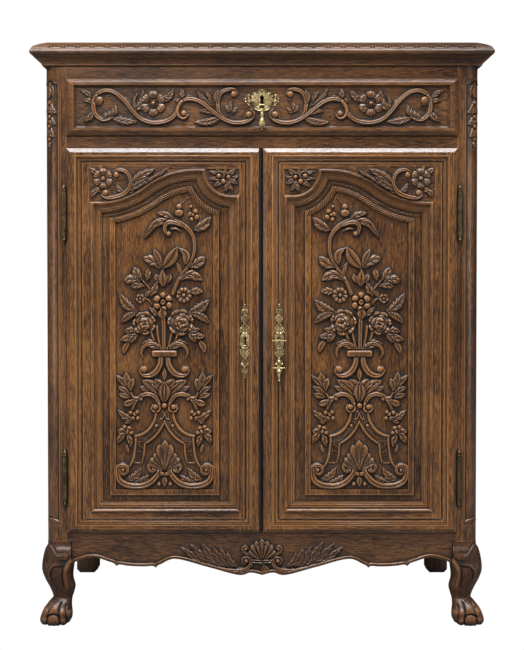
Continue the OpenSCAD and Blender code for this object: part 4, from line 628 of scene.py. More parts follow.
def door_carving():
    """The carving of the left door's panel: a bouquet over a vase, on scrolls, straps and a shell."""
    r = Relief(115.6, 213.9, 190.5, 487.6, full=1.22)
    # branch with the great curl at the top
    r.stem([(188.9, 196.7), (185, 201), (181, 205)], [0.9, 0.9], [1.6, 1.6])
    r.stem([(188.9, 197), (190.5, 205), (189.6, 216), (190, 228)], [1.1, 0.8], [1.8, 1.0])
    r.stem([(173.4, 293.4), (178.6, 280.5), (187.6, 267.6), (192.2, 260), (194.7, 252), (195, 243), (193.4, 235.4),
            (187.6, 227.6), (178.6, 222.3), (170.8, 221)], [3.6, 3.2, 3.0, 3.2, 4.2, 5.0],
           [4.6, 4.6, 4.4, 4.8, 5.4, 5.8], "grooved")
    r.leaf((179, 222.6), (145, 238.8), 7.2, 5.8, bend=0.24, teeth=5, depth=0.16, widest=0.35)
    r.leaf((174.5, 219.6), (157.4, 212.6), 5.6, 5.0, bend=0.08, teeth=3, depth=0.12)
    r.stem([(184, 226), (176, 222.8), (169.5, 222.2), (165.8, 226), (166.2, 231.4), (169.6, 234.9)],
           [2.4, 4.0, 4.6, 3.6, 3.0], [5.0, 6.0, 6.4, 6.0], "grooved")
    r.ball((169.4, 233.6), 2.6, 6.2)
    r.stem([(182, 231.4), (176.6, 228.4), (171.8, 228.8)], [0.8, 2.6, 1.8], [3, 4.6, 3.6])
    r.leaf((194.0, 230.0), (211.2, 217.2), 8.2, 5.6, bend=0.10, teeth=2, depth=0.10, widest=0.5)
    r.ball((179.8, 206.6), 2.9, 4.6)
    r.ball((179.8, 213.0), 3.7, 5.0, stretch=1.2)
    for place, size in (((191, 214.4), 2.6), ((192.4, 219.2), 2.5), ((197.2, 217), 2.9), ((196, 211.4), 2.6),
                        ((191.6, 206.6), 1.9), ((193.6, 214.8), 1.8)):
        r.ball(place, size, 4.4, moat=0.2)
    # lily
    r.leaf((162.6, 269), (143.8, 257.0), 8.6, 5.0, bend=0.10, teeth=3, depth=0.18, widest=0.6)
    r.leaf((163, 269), (154.4, 249.2), 5.4, 5.4, bend=0.05, teeth=0, widest=0.6)
    r.leaf((163.4, 268), (178.0, 246.8), 9.2, 6.2, bend=0.06, teeth=0, widest=0.5)
    r.leaf((178.4, 247.2), (186.2, 265.0), 6.4, 4.8, bend=-0.24, teeth=0, widest=0.6)
    r.leaf((176.4, 262), (180.6, 277.0), 4.0, 3.0, bend=-0.12, teeth=2)
    r.leaf((188.6, 267.4), (205.2, 256.8), 8.8, 5.2, bend=0.08, teeth=3, depth=0.15, widest=0.6)
    r.leaf((179.6, 280.8), (203.0, 279.6), 8.4, 5.2, bend=-0.26, teeth=3, depth=0.15, widest=0.6)
    r.stem([(163.4, 269), (163.6, 274)], [2.2, 2.6], [3.5, 4.4])
    r.leaf((164.2, 284.6), (156.2, 273.8), 4.8, 5.2, bend=-0.12, teeth=0, widest=0.7)
    r.leaf((164.6, 284.6), (171.0, 273.8), 4.8, 5.2, bend=0.12, teeth=0, widest=0.7)
    r.leaf((164.3, 286.6), (163.0, 269.6), 6.6, 6.4, teeth=0, widest=0.45)
    # sprig at the left
    r.stem([(152.8, 295), (149.6, 287), (143, 279.6)], [2.4, 1.6, 1.0], [3.6, 3.2, 2.6])
    r.leaf((143.4, 280.4), (135.0, 267.4), 7.2, 5.0, bend=-0.06, teeth=3, depth=0.12, widest=0.6)
    r.leaf((147.4, 281.4), (148.9, 268.6), 5.6, 4.8, bend=0.05, teeth=3, depth=0.12, widest=0.6)
    r.leaf((142.0, 281.0), (124.4, 280.2), 8.2, 5.0, bend=0.10, teeth=3, depth=0.14, widest=0.6)
    r.leaf((146.6, 286.0), (130.9, 286.2), 6.0, 4.6, bend=0.08, teeth=3, depth=0.12, widest=0.6)
    r.leaf((150.0, 295.0), (157.6, 280.8), 6.4, 4.8, bend=0.12, teeth=3, depth=0.18)
    r.stem([(153.5, 305), (150, 300), (145, 297)], [1.2, 1.6, 1.2], [3.2, 3.2, 3.0])
    # the fan of stalks over the vase
    for u0, u1, v1 in ((151, 159.6, 349.5), (157.5, 162.0, 349.5), (173, 167.4, 349.5), (180, 170.0, 349.5)):
        r.stem([(u0, 326), ((u0 + u1) / 2 - (164 - u0) * 0.10, 338), (u1, v1)], [2.6, 2.2, 2.0], [3.4, 3.8, 3.8])
    r.stem([(163.8, 312), (164.4, 330), (164.6, 350)], [4.2, 3.8, 3.4], [4.6, 4.6, 4.4], "twin")
    r.petals((141.0, 298.2), 5.0, 5, 4.6, turn=20, notch=0.34)
    r.leaf((146.0, 296.6), (150.4, 289.6), 3.4, 3.6, teeth=0)
    r.leaf((190.6, 292.0), (203.4, 291.0), 7.0, 4.8, bend=-0.06, teeth=3, depth=0.2)
    r.petals((184.4, 294.8), 8.0, 9, 5.0, turn=8, notch=0.16, eye=0.26, cup=0.36)
    beside_roses = (((120.4, 293.2), (138.4, 312.0), 8.6, -0.10), ((121.7, 322.4), (138.0, 312.4), 7.2, 0.10),
                    ((209.6, 299.8), (188.8, 312.0), 9.4, 0.10), ((210.2, 322.6), (190.0, 312.4), 7.6, -0.10))
    for tip, base, width, bend in beside_roses:
        r.leaf(base, tip, width, 5.4, bend=bend, teeth=5, depth=0.30, widest=0.5, slant=0.3)
    for k in range(6):
        a = math.radians(60 * k - 90)
        r.ball((163.7 + 6.6 * math.cos(a), 301.6 + 6.6 * math.sin(a)), 3.75, 6.4, moat=0.25)
    r.ball((163.7, 301.6), 3.0, 6.8, moat=0.45)
    r.ball((163.7, 301.6), 1.1, 5.4, moat=0.2)
    r.leaf((158, 316), (150, 307.4), 5.0, 4.6, bend=0.1, teeth=2)
    r.leaf((163.6, 319), (162.6, 307.6), 7.6, 5.6, teeth=0, widest=0.5)
    # leaves and buds below the roses
    r.leaf((138.6, 331.0), (120.6, 339.0), 9.0, 5.2, bend=-0.10, teeth=4, depth=0.30, slant=0.3)
    r.leaf((137.0, 330.0), (124.6, 331.4), 6.4, 5.8, bend=0.10, teeth=3, depth=0.26)
    r.leaf((138.2, 333.0), (131.6, 342.6), 7.2, 5.6, bend=0.12, teeth=3, depth=0.24)
    r.leaf((130.0, 341.0), (124.0, 353.6), 5.0, 4.2, bend=0.08, teeth=0)
    r.leaf((188.4, 331.0), (205.6, 336.0), 8.0, 5.2, bend=0.10, teeth=4, depth=0.28, slant=0.3)
    r.leaf((189.0, 332.6), (196.6, 341.6), 7.6, 5.8, bend=-0.10, teeth=3, depth=0.26)
    r.leaf((188.6, 329.8), (200.4, 328.4), 6.0, 5.6, bend=0.05, teeth=3, depth=0.24)
    r.leaf((199.4, 340.0), (205.4, 352.6), 5.2, 4.2, bend=-0.08, teeth=0)
    r.rose((145.0, 322.6), 11.8, 8.4, turn=30, mouth=(0.02, 0.20))
    r.rose((181.2, 321.8), 13.4, 8.8, turn=-20, mouth=(0.20, 0.12))

    # the vase and all below it are the same at both sides
    r.axis = 165.0
    r.leaf((158.6, 349.0), (141.6, 343.4), 7.4, 4.6, bend=0.20, teeth=4, depth=0.2)
    r.stem([(160.5, 345.4), (152, 342.6), (144.6, 345.8), (142.0, 352), (143.4, 357)], [2.8, 3.4, 3.6, 2.8, 1.6],
           [3.8, 4.6, 5.0, 4.6, 3.6], "grooved")
    r.stem([(163.4, 357), (162.2, 366), (157.0, 375.4)], [3.0, 2.6, 1.6], [4.0, 4.0, 3.2], "grooved")
    r.leaf((165, 368), (165, 380.4), 4.2, 4.0, teeth=0)
    r.stem([(161.6, 357), (160.6, 364), (156.6, 370.8), (150.6, 374.6), (144.6, 374.2), (141.6, 370.6), (142.4, 367)],
           [4.4, 5.0, 5.6, 5.4, 4.6, 3.6, 3.2], [5.0, 5.4, 5.8, 5.8, 5.4, 5.2, 5.2], "grooved")
    r.ball((144.9, 368.6), 3.5, 6.0, moat=0.15)
    r.plate([(152.2, 350.4), (153.4, 349.4), (176.6, 349.4), (177.8, 350.4), (177.8, 355.0), (176.6, 356.2),
             (153.4, 356.2), (152.2, 355.0)], 5.6, roll=2.4, flat=0.45)
    # palmette
    r.leaf((160.6, 400.0), (140.4, 385.8), 6.0, 3.6, bend=0.06, teeth=0, widest=0.6)
    r.leaf((161.6, 400.0), (142.8, 379.4), 8.4, 4.4, bend=0.14, teeth=0, widest=0.62)
    r.leaf((162.8, 400.0), (155.4, 378.4), 9.0, 5.2, bend=0.14, teeth=0, widest=0.6)
    r.stem([(152.8, 384.0), (158.4, 389), (161.6, 398)], [2.0, 1.6], [4.6, 4.2])
    r.leaf((165, 402.0), (165, 380.6), 10.4, 6.2, teeth=0, widest=0.5)
    r.stem([(165, 384.5), (165, 399)], [1.4, 2.6, 1.0], [6.6, 7.0, 6.2])
    # arches that carry the sprays
    r.stem([(132.4, 410), (135.6, 401.4), (140.2, 396.0), (147.4, 393.2), (154.4, 395.0), (158.8, 400.6),
            (159.6, 406.0)], [2.2, 3.2, 3.8, 4.2, 4.2, 4.0, 3.6], [3.4, 4.4, 4.8, 5.2, 5.2, 5.0, 4.8], "grooved")
    spray = (((117.0, 374.6), (131.0, 393.0), 4.8, 0.06), ((126.6, 371.6), (131.6, 391.0), 6.2, -0.06),
             ((133.8, 378.2), (131.6, 391.6), 6.0, -0.10), ((118.6, 386.2), (132.0, 395.6), 5.0, 0.08),
             ((119.2, 393.4), (132.6, 397.6), 5.2, 0.04), ((124.0, 403.8), (136.0, 397.6), 6.0, -0.08))
    for tip, base, width, bend in spray:
        r.leaf(base, tip, width, 4.8, bend=bend, teeth=0, widest=0.62)
    r.stem([(131.6, 392), (134.4, 396.6), (140, 396.8)], [1.6, 2.4, 2.6], [3.8, 4.2, 4.2])
    r.ball((141.6, 398.2), 2.0, 4.0)
    r.stem([(159.6, 403), (160.2, 408.6), (156.4, 411.2), (152.6, 408.4), (153.4, 404.6)], [3.2, 3.0, 2.6, 2.2],
           [5.0, 5.2, 5.0, 4.8])
    r.ball((156.0, 406.2), 3.0, 5.2, moat=0.2)
    r.ball((165, 404.8), 3.0, 5.8, moat=0.2)
    # straps
    r.plate([(158.4, 412.0), (164.9, 409.0), (164.9, 421.6), (159.6, 430.0), (152.4, 438.0), (145.6, 442.6),
             (144.2, 457.0), (142.6, 463.0), (131.4, 463.0), (133.0, 456.0), (134.6, 445.0), (135.2, 436.0),
             (142.0, 433.8), (149.2, 428.0), (154.4, 420.4)], 1.9, roll=1.0, flat=0.6)
    r.stem([(156.8, 412), (154.6, 420.6), (149.2, 428.8), (142.4, 433.6), (135.4, 435.6)], [2.4, 2.8, 3.0, 3.0, 2.2],
           [3.2, 3.8, 4.2, 4.2, 3.4])
    r.stem([(165.0, 421.0), (160.0, 430.0), (153.2, 437.6), (145.6, 442.8)], [2.2, 2.4, 2.6, 2.2],
           [3.4, 3.8, 4.0, 3.4])
    r.stem([(161.4, 413), (159.6, 421.6), (154.4, 430.4), (147.4, 436.6), (139.6, 439.4)], [1.0, 1.2, 1.2, 0.8],
           [3.0, 3.0, 3.0, 2.6])
    r.stem([(136.4, 437.4), (135.6, 448), (133.6, 459), (129.6, 466.4)], [2.4, 2.4, 2.6, 2.0], [3.2, 3.2, 3.0, 2.6])
    r.stem([(145.0, 443.6), (144.4, 453), (142.4, 462.4)], [2.2, 2.4, 1.2], [3.2, 3.0, 2.0])
    for n in range(4):
        r.stem([(138.8 + n * 1.5, 442.6), (138.2 + n * 1.4, 452), (136.8 + n * 1.3, 461)], [0.9, 0.9, 0.6],
               [2.9, 2.8, 2.2])
    r.ball((156.8, 425.0), 2.0, 4.0, moat=0.2)
    r.stem([(165, 412), (163.4, 417), (160, 418.6)], [1.6, 1.4], [3.4, 3.4])
    # husks that hang from the arches
    for place, size in (((131.2, 412.0), 2.4), ((135.4, 413.6), 2.4), ((133.4, 417.6), 2.5), ((129.0, 419.6), 2.4),
                        ((138.4, 417.4), 2.2), ((137.6, 411.4), 2.0)):
        r.ball(place, size, 4.4, moat=0.2)
    r.leaf((133.6, 418.6), (118.8, 409.6), 6.2, 4.8, bend=-0.10, teeth=3, depth=0.25)
    r.leaf((132.0, 420.0), (124.6, 421.6), 4.4, 4.4, teeth=2)
    for place, size in (((125.4, 426.6), 2.7), ((129.6, 427.6), 2.7), ((128.0, 431.2), 2.8), ((131.8, 432.0), 2.2)):
        r.ball(place, size, 4.6, moat=0.2)
    r.leaf((126.6, 430.0), (117.4, 431.0), 5.0, 4.4, teeth=0)
    r.leaf((126.0, 431.6), (118.2, 443.0), 6.2, 4.8, bend=0.08, teeth=3, depth=0.14)
    r.leaf((127.8, 433.0), (131.6, 446.4), 5.4, 4.8, bend=-0.06, teeth=3, depth=0.14)
    r.leaf((127.0, 444.0), (129.2, 453.0), 3.0, 3.0, teeth=0)
    # scrolls at the foot
    r.leaf((126.8, 479.6), (141.6, 467.4), 7.0, 3.2, bend=0.14, teeth=4, depth=0.24)
    r.leaf((132.6, 482.8), (149.4, 474.6), 7.4, 3.4, bend=0.14, teeth=4, depth=0.24)
    scroll = [*volute((123.6, 469.6), 1.4, 6.0, -40, -520, 22), (119.6, 478.4), (125.6, 483.4), (134.0, 485.6),
              (143.0, 485.0), (151.0, 481.4), (157.0, 475.2), (160.2, 468.2), (158.6, 463.4), (154.4, 461.8),
              *volute((153.6, 467.4), 5.6, 1.4, -80, -400, 16)]
    r.stem(scroll, [2.2, 3.0, 3.6, 4.4, 5.6, 6.4, 6.0, 5.6, 5.0, 4.2, 3.2, 2.4],
           [4.8, 4.8, 4.8, 5.0, 5.4, 5.6, 5.6, 5.6, 5.2], "grooved", steps=4)
    r.ball((123.6, 469.6), 1.7, 5.2)
    r.ball((153.6, 467.4), 1.8, 5.6)
    r.plate([(160.0, 469.6), (165.0, 471.6), (165.2, 475.6), (159.4, 474.4)], 4.2, roll=1.6)
    r.leaf((165, 476.0), (165, 486.0), 5.0, 4.4, teeth=0, widest=0.4)
    r.ball((159.4, 483.4), 2.2, 3.8)
    r.axis = None
    r.shell((165.4, 470.0), (165.4, 448.4), 78, 9, 4.4, fall=0.22)
    r.shell((165.4, 470.0), (165.4, 439.6), 27, 3, 5.6, fall=0.28)
    r.tooled(7)
    return r


def drawer_carving():
    """The drawer's scrolling branch, from the left end to the middle. The other half mirrors it."""
    r = Relief(78.2, 446.2, 88.4, 127.6, step=0.44, axis=MIDDLE, full=1.2)
    # left end
    r.leaf((93.4, 100.6), (82.0, 91.4), 4.8, 4.4, bend=0.14, teeth=3, depth=0.2)
    r.leaf((95.2, 104.6), (85.0, 101.8), 4.6, 4.2, bend=0.14, teeth=2, depth=0.2)
    r.leaf((95.6, 112.0), (85.8, 122.4), 6.2, 4.6, bend=-0.12, teeth=3, depth=0.24)
    # long leaves under and over the first branch
    r.leaf((113.6, 119.0), (139.6, 122.6), 6.6, 3.8, bend=0.06, teeth=5, depth=0.30)
    r.leaf((133.0, 110.8), (117.6, 97.8), 5.6, 4.4, bend=0.12, teeth=4, depth=0.26)
    r.leaf((135.0, 112.0), (144.4, 91.4), 7.2, 4.6, bend=0.22, teeth=4, depth=0.16)
    r.stem([(136.6, 112), (135.4, 103), (138.6, 95.6)], [2.6, 2.6, 1.6], [4.4, 4.6, 4.0], "grooved")
    r.leaf((139.0, 116.0), (137.4, 103.0), 3.6, 3.8, bend=-0.2, teeth=3)
    # first C, under the first eye
    r.stem([(117.4, 108.0), (116.0, 114.6), (111.4, 119.4), (104.6, 120.8), (98.6, 117.2), (95.6, 111.0),
            (95.6, 104.4), (97.4, 98.4), (101.2, 94.0), (107.6, 91.8), (115.4, 93.4), (122.6, 98.6), (128.6, 105.0),
            (134.4, 112.6), (141.4, 119.4), (150.0, 123.0), (160.0, 123.6), (169.6, 121.2), (176.6, 115.6),
            (179.0, 108.6), (182.0, 103.4)], [2.4, 3.4, 4.2, 4.4, 4.2, 4.0, 3.8, 3.8, 4.0, 4.2, 4.0, 3.8],
           [3.6, 4.6, 5.0, 5.2, 5.2, 5.2], "grooved", steps=6)
    for n in range(4):
        r.leaf((115.4 - n * 3.2, 117.2 + n * 0.9), (117.6 - n * 3.4, 108.0 + n * 2.0), 3.2, 4.2, bend=0.1, teeth=0)
    r.stem([(98.2, 97.6), (97.6, 101.6), (99.8, 105.0), (103.4, 105.0)], [3.6, 3.2, 2.4], [5.2, 5.2, 5.0])
    r.ball((101.4, 101.6), 3.9, 6.2, moat=0.15)
    # flower
    r.leaf((163.4, 103.0), (174.8, 90.6), 6.2, 4.6, bend=0.10, teeth=4, depth=0.28)
    r.leaf((164.4, 101.0), (169.6, 96.6), 4.4, 4.8, teeth=2)
    r.petals((154.4, 104.6), 12.6, 6, 5.2, turn=30, notch=0.26, eye=0.1, cup=0.34)
    r.ball((154.4, 104.6), 4.0, 4.2, moat=0.6)
    r.ball((154.4, 104.6), 2.3, 6.2, moat=0.6)
    # second branch
    r.leaf((183.4, 100.8), (183.0, 89.8), 5.4, 4.4, teeth=3, depth=0.26)
    r.leaf((181.6, 101.4), (176.4, 102.6), 3.4, 3.6, teeth=0)
    r.leaf((185.6, 99.8), (192.6, 97.4), 3.4, 3.6, teeth=2)
    r.leaf((213.6, 107.4), (196.6, 90.6), 4.6, 4.4, bend=-0.08, teeth=5, depth=0.3)
    r.leaf((211.6, 104.0), (205.4, 92.6), 3.6, 4.0, bend=0.1, teeth=2)
    r.leaf((222.0, 118.4), (195.2, 123.4), 7.2, 4.4, bend=-0.08, teeth=6, depth=0.28)
    r.leaf((219.4, 116.6), (200.4, 112.2), 5.6, 4.4, bend=0.10, teeth=4, depth=0.24)
    r.leaf((229.6, 114.0), (231.4, 102.6), 4.2, 3.8, teeth=3, depth=0.2)
    r.leaf((231.6, 114.6), (237.6, 108.6), 3.6, 3.6, teeth=2)
    r.leaf((228.2, 113.0), (226.8, 106.4), 3.0, 3.4, teeth=0)
    r.stem([(226.0, 121.0), (220.4, 115.0), (218.6, 107.6), (219.0, 100.0), (222.2, 94.0), (228.4, 91.0),
            (234.4, 91.6), (237.2, 95.2)], [3.4, 3.6, 3.6, 3.8, 4.0, 4.0, 3.4], [4.6, 4.8, 5.0, 5.2, 5.2, 5.0],
           "grooved")
    r.leaf((219.0, 106.0), (219.6, 90.6), 4.6, 4.2, bend=-0.16, teeth=0)
    r.ball((234.2, 95.6), 3.3, 5.8, moat=0.15)
    r.stem([(181.0, 106.4), (183.4, 102.6), (188.6, 100.4), (195.4, 100.8), (202.4, 103.8), (209.6, 109.4),
            (216.6, 115.0), (224.4, 120.4), (233.8, 123.6), (243.6, 123.4), (251.2, 120.2), (253.8, 115.2),
            (251.6, 111.6)], [3.4, 3.8, 4.0, 4.2, 4.0, 3.8, 3.8, 4.0, 4.0, 3.6, 3.0],
           [4.8, 5.2, 5.2, 5.2, 5.2, 5.2, 5.0], "grooved", steps=6)
    r.ball((249.4, 115.8), 3.5, 5.8, moat=0.15)
    r.stem([(182.6, 102.8), (179.4, 107.4), (178.4, 113.2), (180.8, 118.0), (185.4, 119.2), (188.4, 116.4)],
           [3.4, 3.4, 3.4, 3.0, 2.6], [5.0, 5.0, 5.2, 5.2, 5.0])
    r.ball((184.8, 114.6), 3.1, 5.8, moat=0.15)
    r.tooled(3, 0.22)
    return r


def spandrel_carving():
    """Above the arch at the hinge side: a flower, a curl and long leaves."""
    r = Relief(90.6, 169.0, 166.4, 201.8, step=0.44, full=1.2)
    r.leaf((99.0, 174.6), (91.8, 168.8), 4.2, 3.6, teeth=0)
    r.leaf((98.6, 190.0), (93.6, 197.6), 5.4, 3.8, bend=0.1, teeth=2, depth=0.2)
    r.leaf((97.0, 188.4), (101.6, 192.0), 4.2, 3.8, teeth=0)
    r.leaf((125.6, 195.4), (166.8, 170.4), 8.2, 4.2, bend=0.05, teeth=7, depth=0.26, widest=0.42)
    r.leaf((131.6, 186.6), (156.0, 169.8), 8.6, 4.4, bend=-0.06, teeth=5, depth=0.28)
    r.leaf((132.0, 186.6), (142.8, 189.8), 3.8, 3.0, teeth=3, depth=0.3)
    r.leaf((128.4, 190.8), (150.4, 177.8), 6.4, 4.8, bend=0.04, teeth=5, depth=0.24)
    r.leaf((126.4, 193.6), (118.0, 184.0), 4.2, 3.2, bend=-0.14, teeth=3, depth=0.2)
    r.stem([(116.0, 172.4), (121.2, 170.4), (127.4, 172.4), (131.4, 178.0), (132.0, 184.6), (128.6, 191.4),
            (122.4, 195.6), (115.4, 197.6), (109.0, 198.0), (104.6, 195.8)],
           [3.0, 3.6, 3.6, 3.4, 3.8, 4.6, 4.4, 3.6, 3.0], [4.4, 4.8, 4.8, 4.6, 4.6, 4.8], "grooved")
    r.ball((118.0, 175.4), 3.1, 5.0, moat=0.15)
    r.ball((107.2, 193.2), 3.2, 4.8, moat=0.15)
    r.petals((104.8, 179.0), 10.0, 6, 4.6, turn=30, notch=0.16, eye=0.24, cup=0.34, ruffle=0.03)
    r.tooled(11, 0.14)
    return r


def quarter_carving():
    """In the quarter circle at the meeting side: a spray of leaves with two buds."""
    r = Relief(205.6, 240.2, 166.6, 194.6, step=0.42)
    for tip, width, bend in (((209.0, 171.4), 5.6, 0.08), ((216.6, 169.4), 5.6, 0.06), ((226.0, 168.8), 5.6, -0.06),
                             ((236.6, 169.0), 6.6, -0.06), ((238.8, 176.6), 6.0, 0.06), ((238.6, 184.4), 6.6, -0.06),
                             ((234.0, 191.4), 6.0, 0.06), ((225.6, 192.6), 6.2, -0.08), ((214.4, 187.4), 6.8, 0.06),
                             ((209.8, 179.4), 5.8, 0.06)):
        r.leaf((226.6, 180.4), tip, width, 4.0, bend=bend, teeth=4, depth=0.26, slant=0.3)
    r.ball((219.4, 176.4), 2.6, 4.8, moat=0.3)
    r.ball((224.0, 181.8), 2.8, 5.0, moat=0.3)
    r.ball((229.0, 177.4), 2.3, 4.6, moat=0.3)
    r.tooled(13, 0.12)
    return r


PANEL_LIP = 49.0                  # how far the edge of a panel's ground is below the arch's crest, in millimetres
UPPER_PART_ENDS = 345.0           # v at which a panel's carving is parted, so that no piece has too many faces


def over_lip(U, V):
    """How far a place on the drawing is above the edge of a panel's ground."""
    return above_floor(V) - arch_height(np.clip(across_front(U), -392, -75), PANEL_LIP)


bouquet = door_carving()
over = over_lip(bouquet.U, bouquet.V)
bouquet.h = np.where(over > 0, -5.0 * smooth(over / 1.2), bouquet.h)
split = np.searchsorted(bouquet.v, UPPER_PART_ENDS)
for side, flip in (("left", 1), ("right", -1)):
    for part, rows in (("upper", slice(0, split + 1)), ("lower", slice(split, None))):
        board(f"door_{side}_carving_{part}", bouquet, -1.2, f"door_{side}", "oak_door", panel_up,
              keep=lambda U, V: over_lip(U, V) < 3.0, flip=flip, rows=rows)

# The board is left open at the drawer's keyhole
board("drawer_carving", drawer_carving(), 3.25, "drawer", "oak_case", carved_across,
      keep=lambda U, V: (np.abs(U - MIDDLE) > 2.4) | (V < 97.0) | (V > 105.6), back=2.0)

spandrel, quarter = spandrel_carving(), quarter_carving()


def on_spandrel(U, V):
    return above_floor(V) - arch_height(across_front(U), -6.6) > 0


def on_quarter(U, V):
    x, z = across_front(U), above_floor(V)
    return (np.hypot(x - QUARTER[0], z - QUARTER[1]) < 58.2) & (z < 1088.4) & (x < -54.2)


for side, flip in (("left", 1), ("right", -1)):
    for part, relief, level, keep in (("spandrel", spandrel, 7.15, on_spandrel),
                                      ("quarter", quarter, 4.65, on_quarter)):
        board(f"door_{side}_{part}_carving", relief, level, f"door_{side}", "oak_door", carved_across, keep, flip,
              2.0)


# ---------------------------------------------------------------- fine beads of the door frames
def bead(name, path, height, wide, rise, body, slot, finish, flip=1):
    """A bead along a closed path in (x, z), its foot so many millimetres in front of the case's face."""
    path = np.array(path, float)
    before, after = path - np.roll(path, 1, 0), np.roll(path, -1, 0) - path
    before, after = (d / np.linalg.norm(d, axis=1)[:, None] for d in (before, after))
    ahead = (before + after) / np.linalg.norm(before + after, axis=1)[:, None]
    out = np.stack([-ahead[:, 1], ahead[:, 0]], 1) / np.clip((ahead * before).sum(1), 0.6, 1)[:, None]
    turn = np.linspace(0, math.pi, 6)
    off = np.concatenate([wide / 2 * np.cos(turn), [-wide / 2, wide / 2]])
    up = np.concatenate([rise * np.sin(turn), [-0.6, -0.6]])
    rings = np.array([[(flip * (p[0] + o * n[0]), FACE - height - u, p[1] + o * n[1]) for o, u in zip(off, up)]
                      for p, n in zip(path, out)])
    return piece(name, rings / 1000, tube(rings, closed=True), body, finish)


def frame_path(left, right, low, high):
    return [(left, low), (right, low), (right, high), (left, high)]


def arch_path(offset):
    """Round a door's panel, so many millimetres inside the roll's crest."""
    left, right, low = -403.7 + offset, -56.9 - offset, 273.0 + offset
    x = np.linspace(left, right, 150)
    return [(right, low)] + list(zip(x[::-1], arch_height(x, offset)[::-1])) + [(left, low)]


# The left door's outline, the width of its flat border, and how far inside a bead runs, its level, width and rise
DOOR_LEFT, DOOR_RIGHT, DOOR_LOW, DOOR_HIGH = -465.5, -1.5, 219.5, 1137.5
BORDER_HINGE, BORDER_MEET, BORDER_END = 24.5, 26.5, 21
FRAME_BEADS = (-2.4, 11.0, 2.8, 0.7), (1.5, 7.0, 2.8, 2.6), (5.2, 6.3, 2.8, 1.9), (14.6, 7.0, 2.4, 1.0)
PANEL_BEADS = (8.8, 3.1, 2.6, 1.8), (13.2, 2.7, 2.6, 1.5), (18.0, 1.0, 2.4, 1.3)
for side, flip in (("left", 1), ("right", -1)):
    for number, (inset, *section) in enumerate(FRAME_BEADS, 1):
        around = frame_path(DOOR_LEFT + BORDER_HINGE + inset, DOOR_RIGHT - BORDER_MEET - inset,
                            DOOR_LOW + BORDER_END + inset, DOOR_HIGH - BORDER_END - inset)
        bead(f"door_{side}_frame_bead_{number}", around, *section, f"door_{side}", "oak_door", door_up, flip)
    for number, (inset, *section) in enumerate(PANEL_BEADS, 1):
        bead(f"door_{side}_panel_bead_{number}", arch_path(inset), *section, f"door_{side}", "oak_door", door_up,
             flip)


# ---------------------------------------------------------------- apron
APRON = [(-455.8, 137.5), (-443.9, 150.5), (-400.6, 159.5), (-347.8, 143.5), (-298.1, 138.0), (-249.8, 140.5),
         (-207.8, 156.0), (-129.9, 136.5), (-57.0, 117.5), (-26.9, 123.0), (0, 117.5)]
apron_half = curve(APRON, 24)
for drip in (-348.3, -254.6):
    beside = apron_half[:, 0] - drip
    apron_half[:, 1] += 2.0 * np.exp(-(beside / 14) ** 2) - 8.0 * np.exp(-np.abs(beside) / 4)
apron_line = np.vstack([apron_half, apron_half[-2::-1] * (-1, 1)])


def apron_bead():
    """The double roll along the shaped edge."""
    ahead = np.gradient(apron_line, axis=0)
    ahead /= np.linalg.norm(ahead, axis=1)[:, None]
    up = np.stack([-ahead[:, 1], ahead[:, 0]], 1)
    section = [(0.2, 0.2), (0.2, 3.4), (0.8, 4.6), (1.8, 5.2), (2.9, 4.9), (3.5, 4.0), (3.9, 4.2), (4.5, 5.9),
               (5.6, 6.9), (6.9, 6.8), (7.9, 5.6), (8.5, 3.6), (8.7, 0.8), (8.4, 0.2)]
    rings = np.array([[(p[0] + s * n[0], FACE - h, p[1] + s * n[1]) for s, h in section]
                      for p, n in zip(apron_line, up)]) / 1000
    # The relief mark paints shade in the bead's groove and at both feet, and highlight with worn wood on its two
    # crests.
    marks = np.tile([-0.6, 0, 0.4, 0.7, 0.3, -0.8, -0.6, 0.3, 0.8, 0.8, 0.3, -0.4, -0.9, -0.9], (len(rings), 1))
    piece("apron_bead", rings, tube(rings), "case", dark_across, {"relief": marks, "shade": 0 * marks})


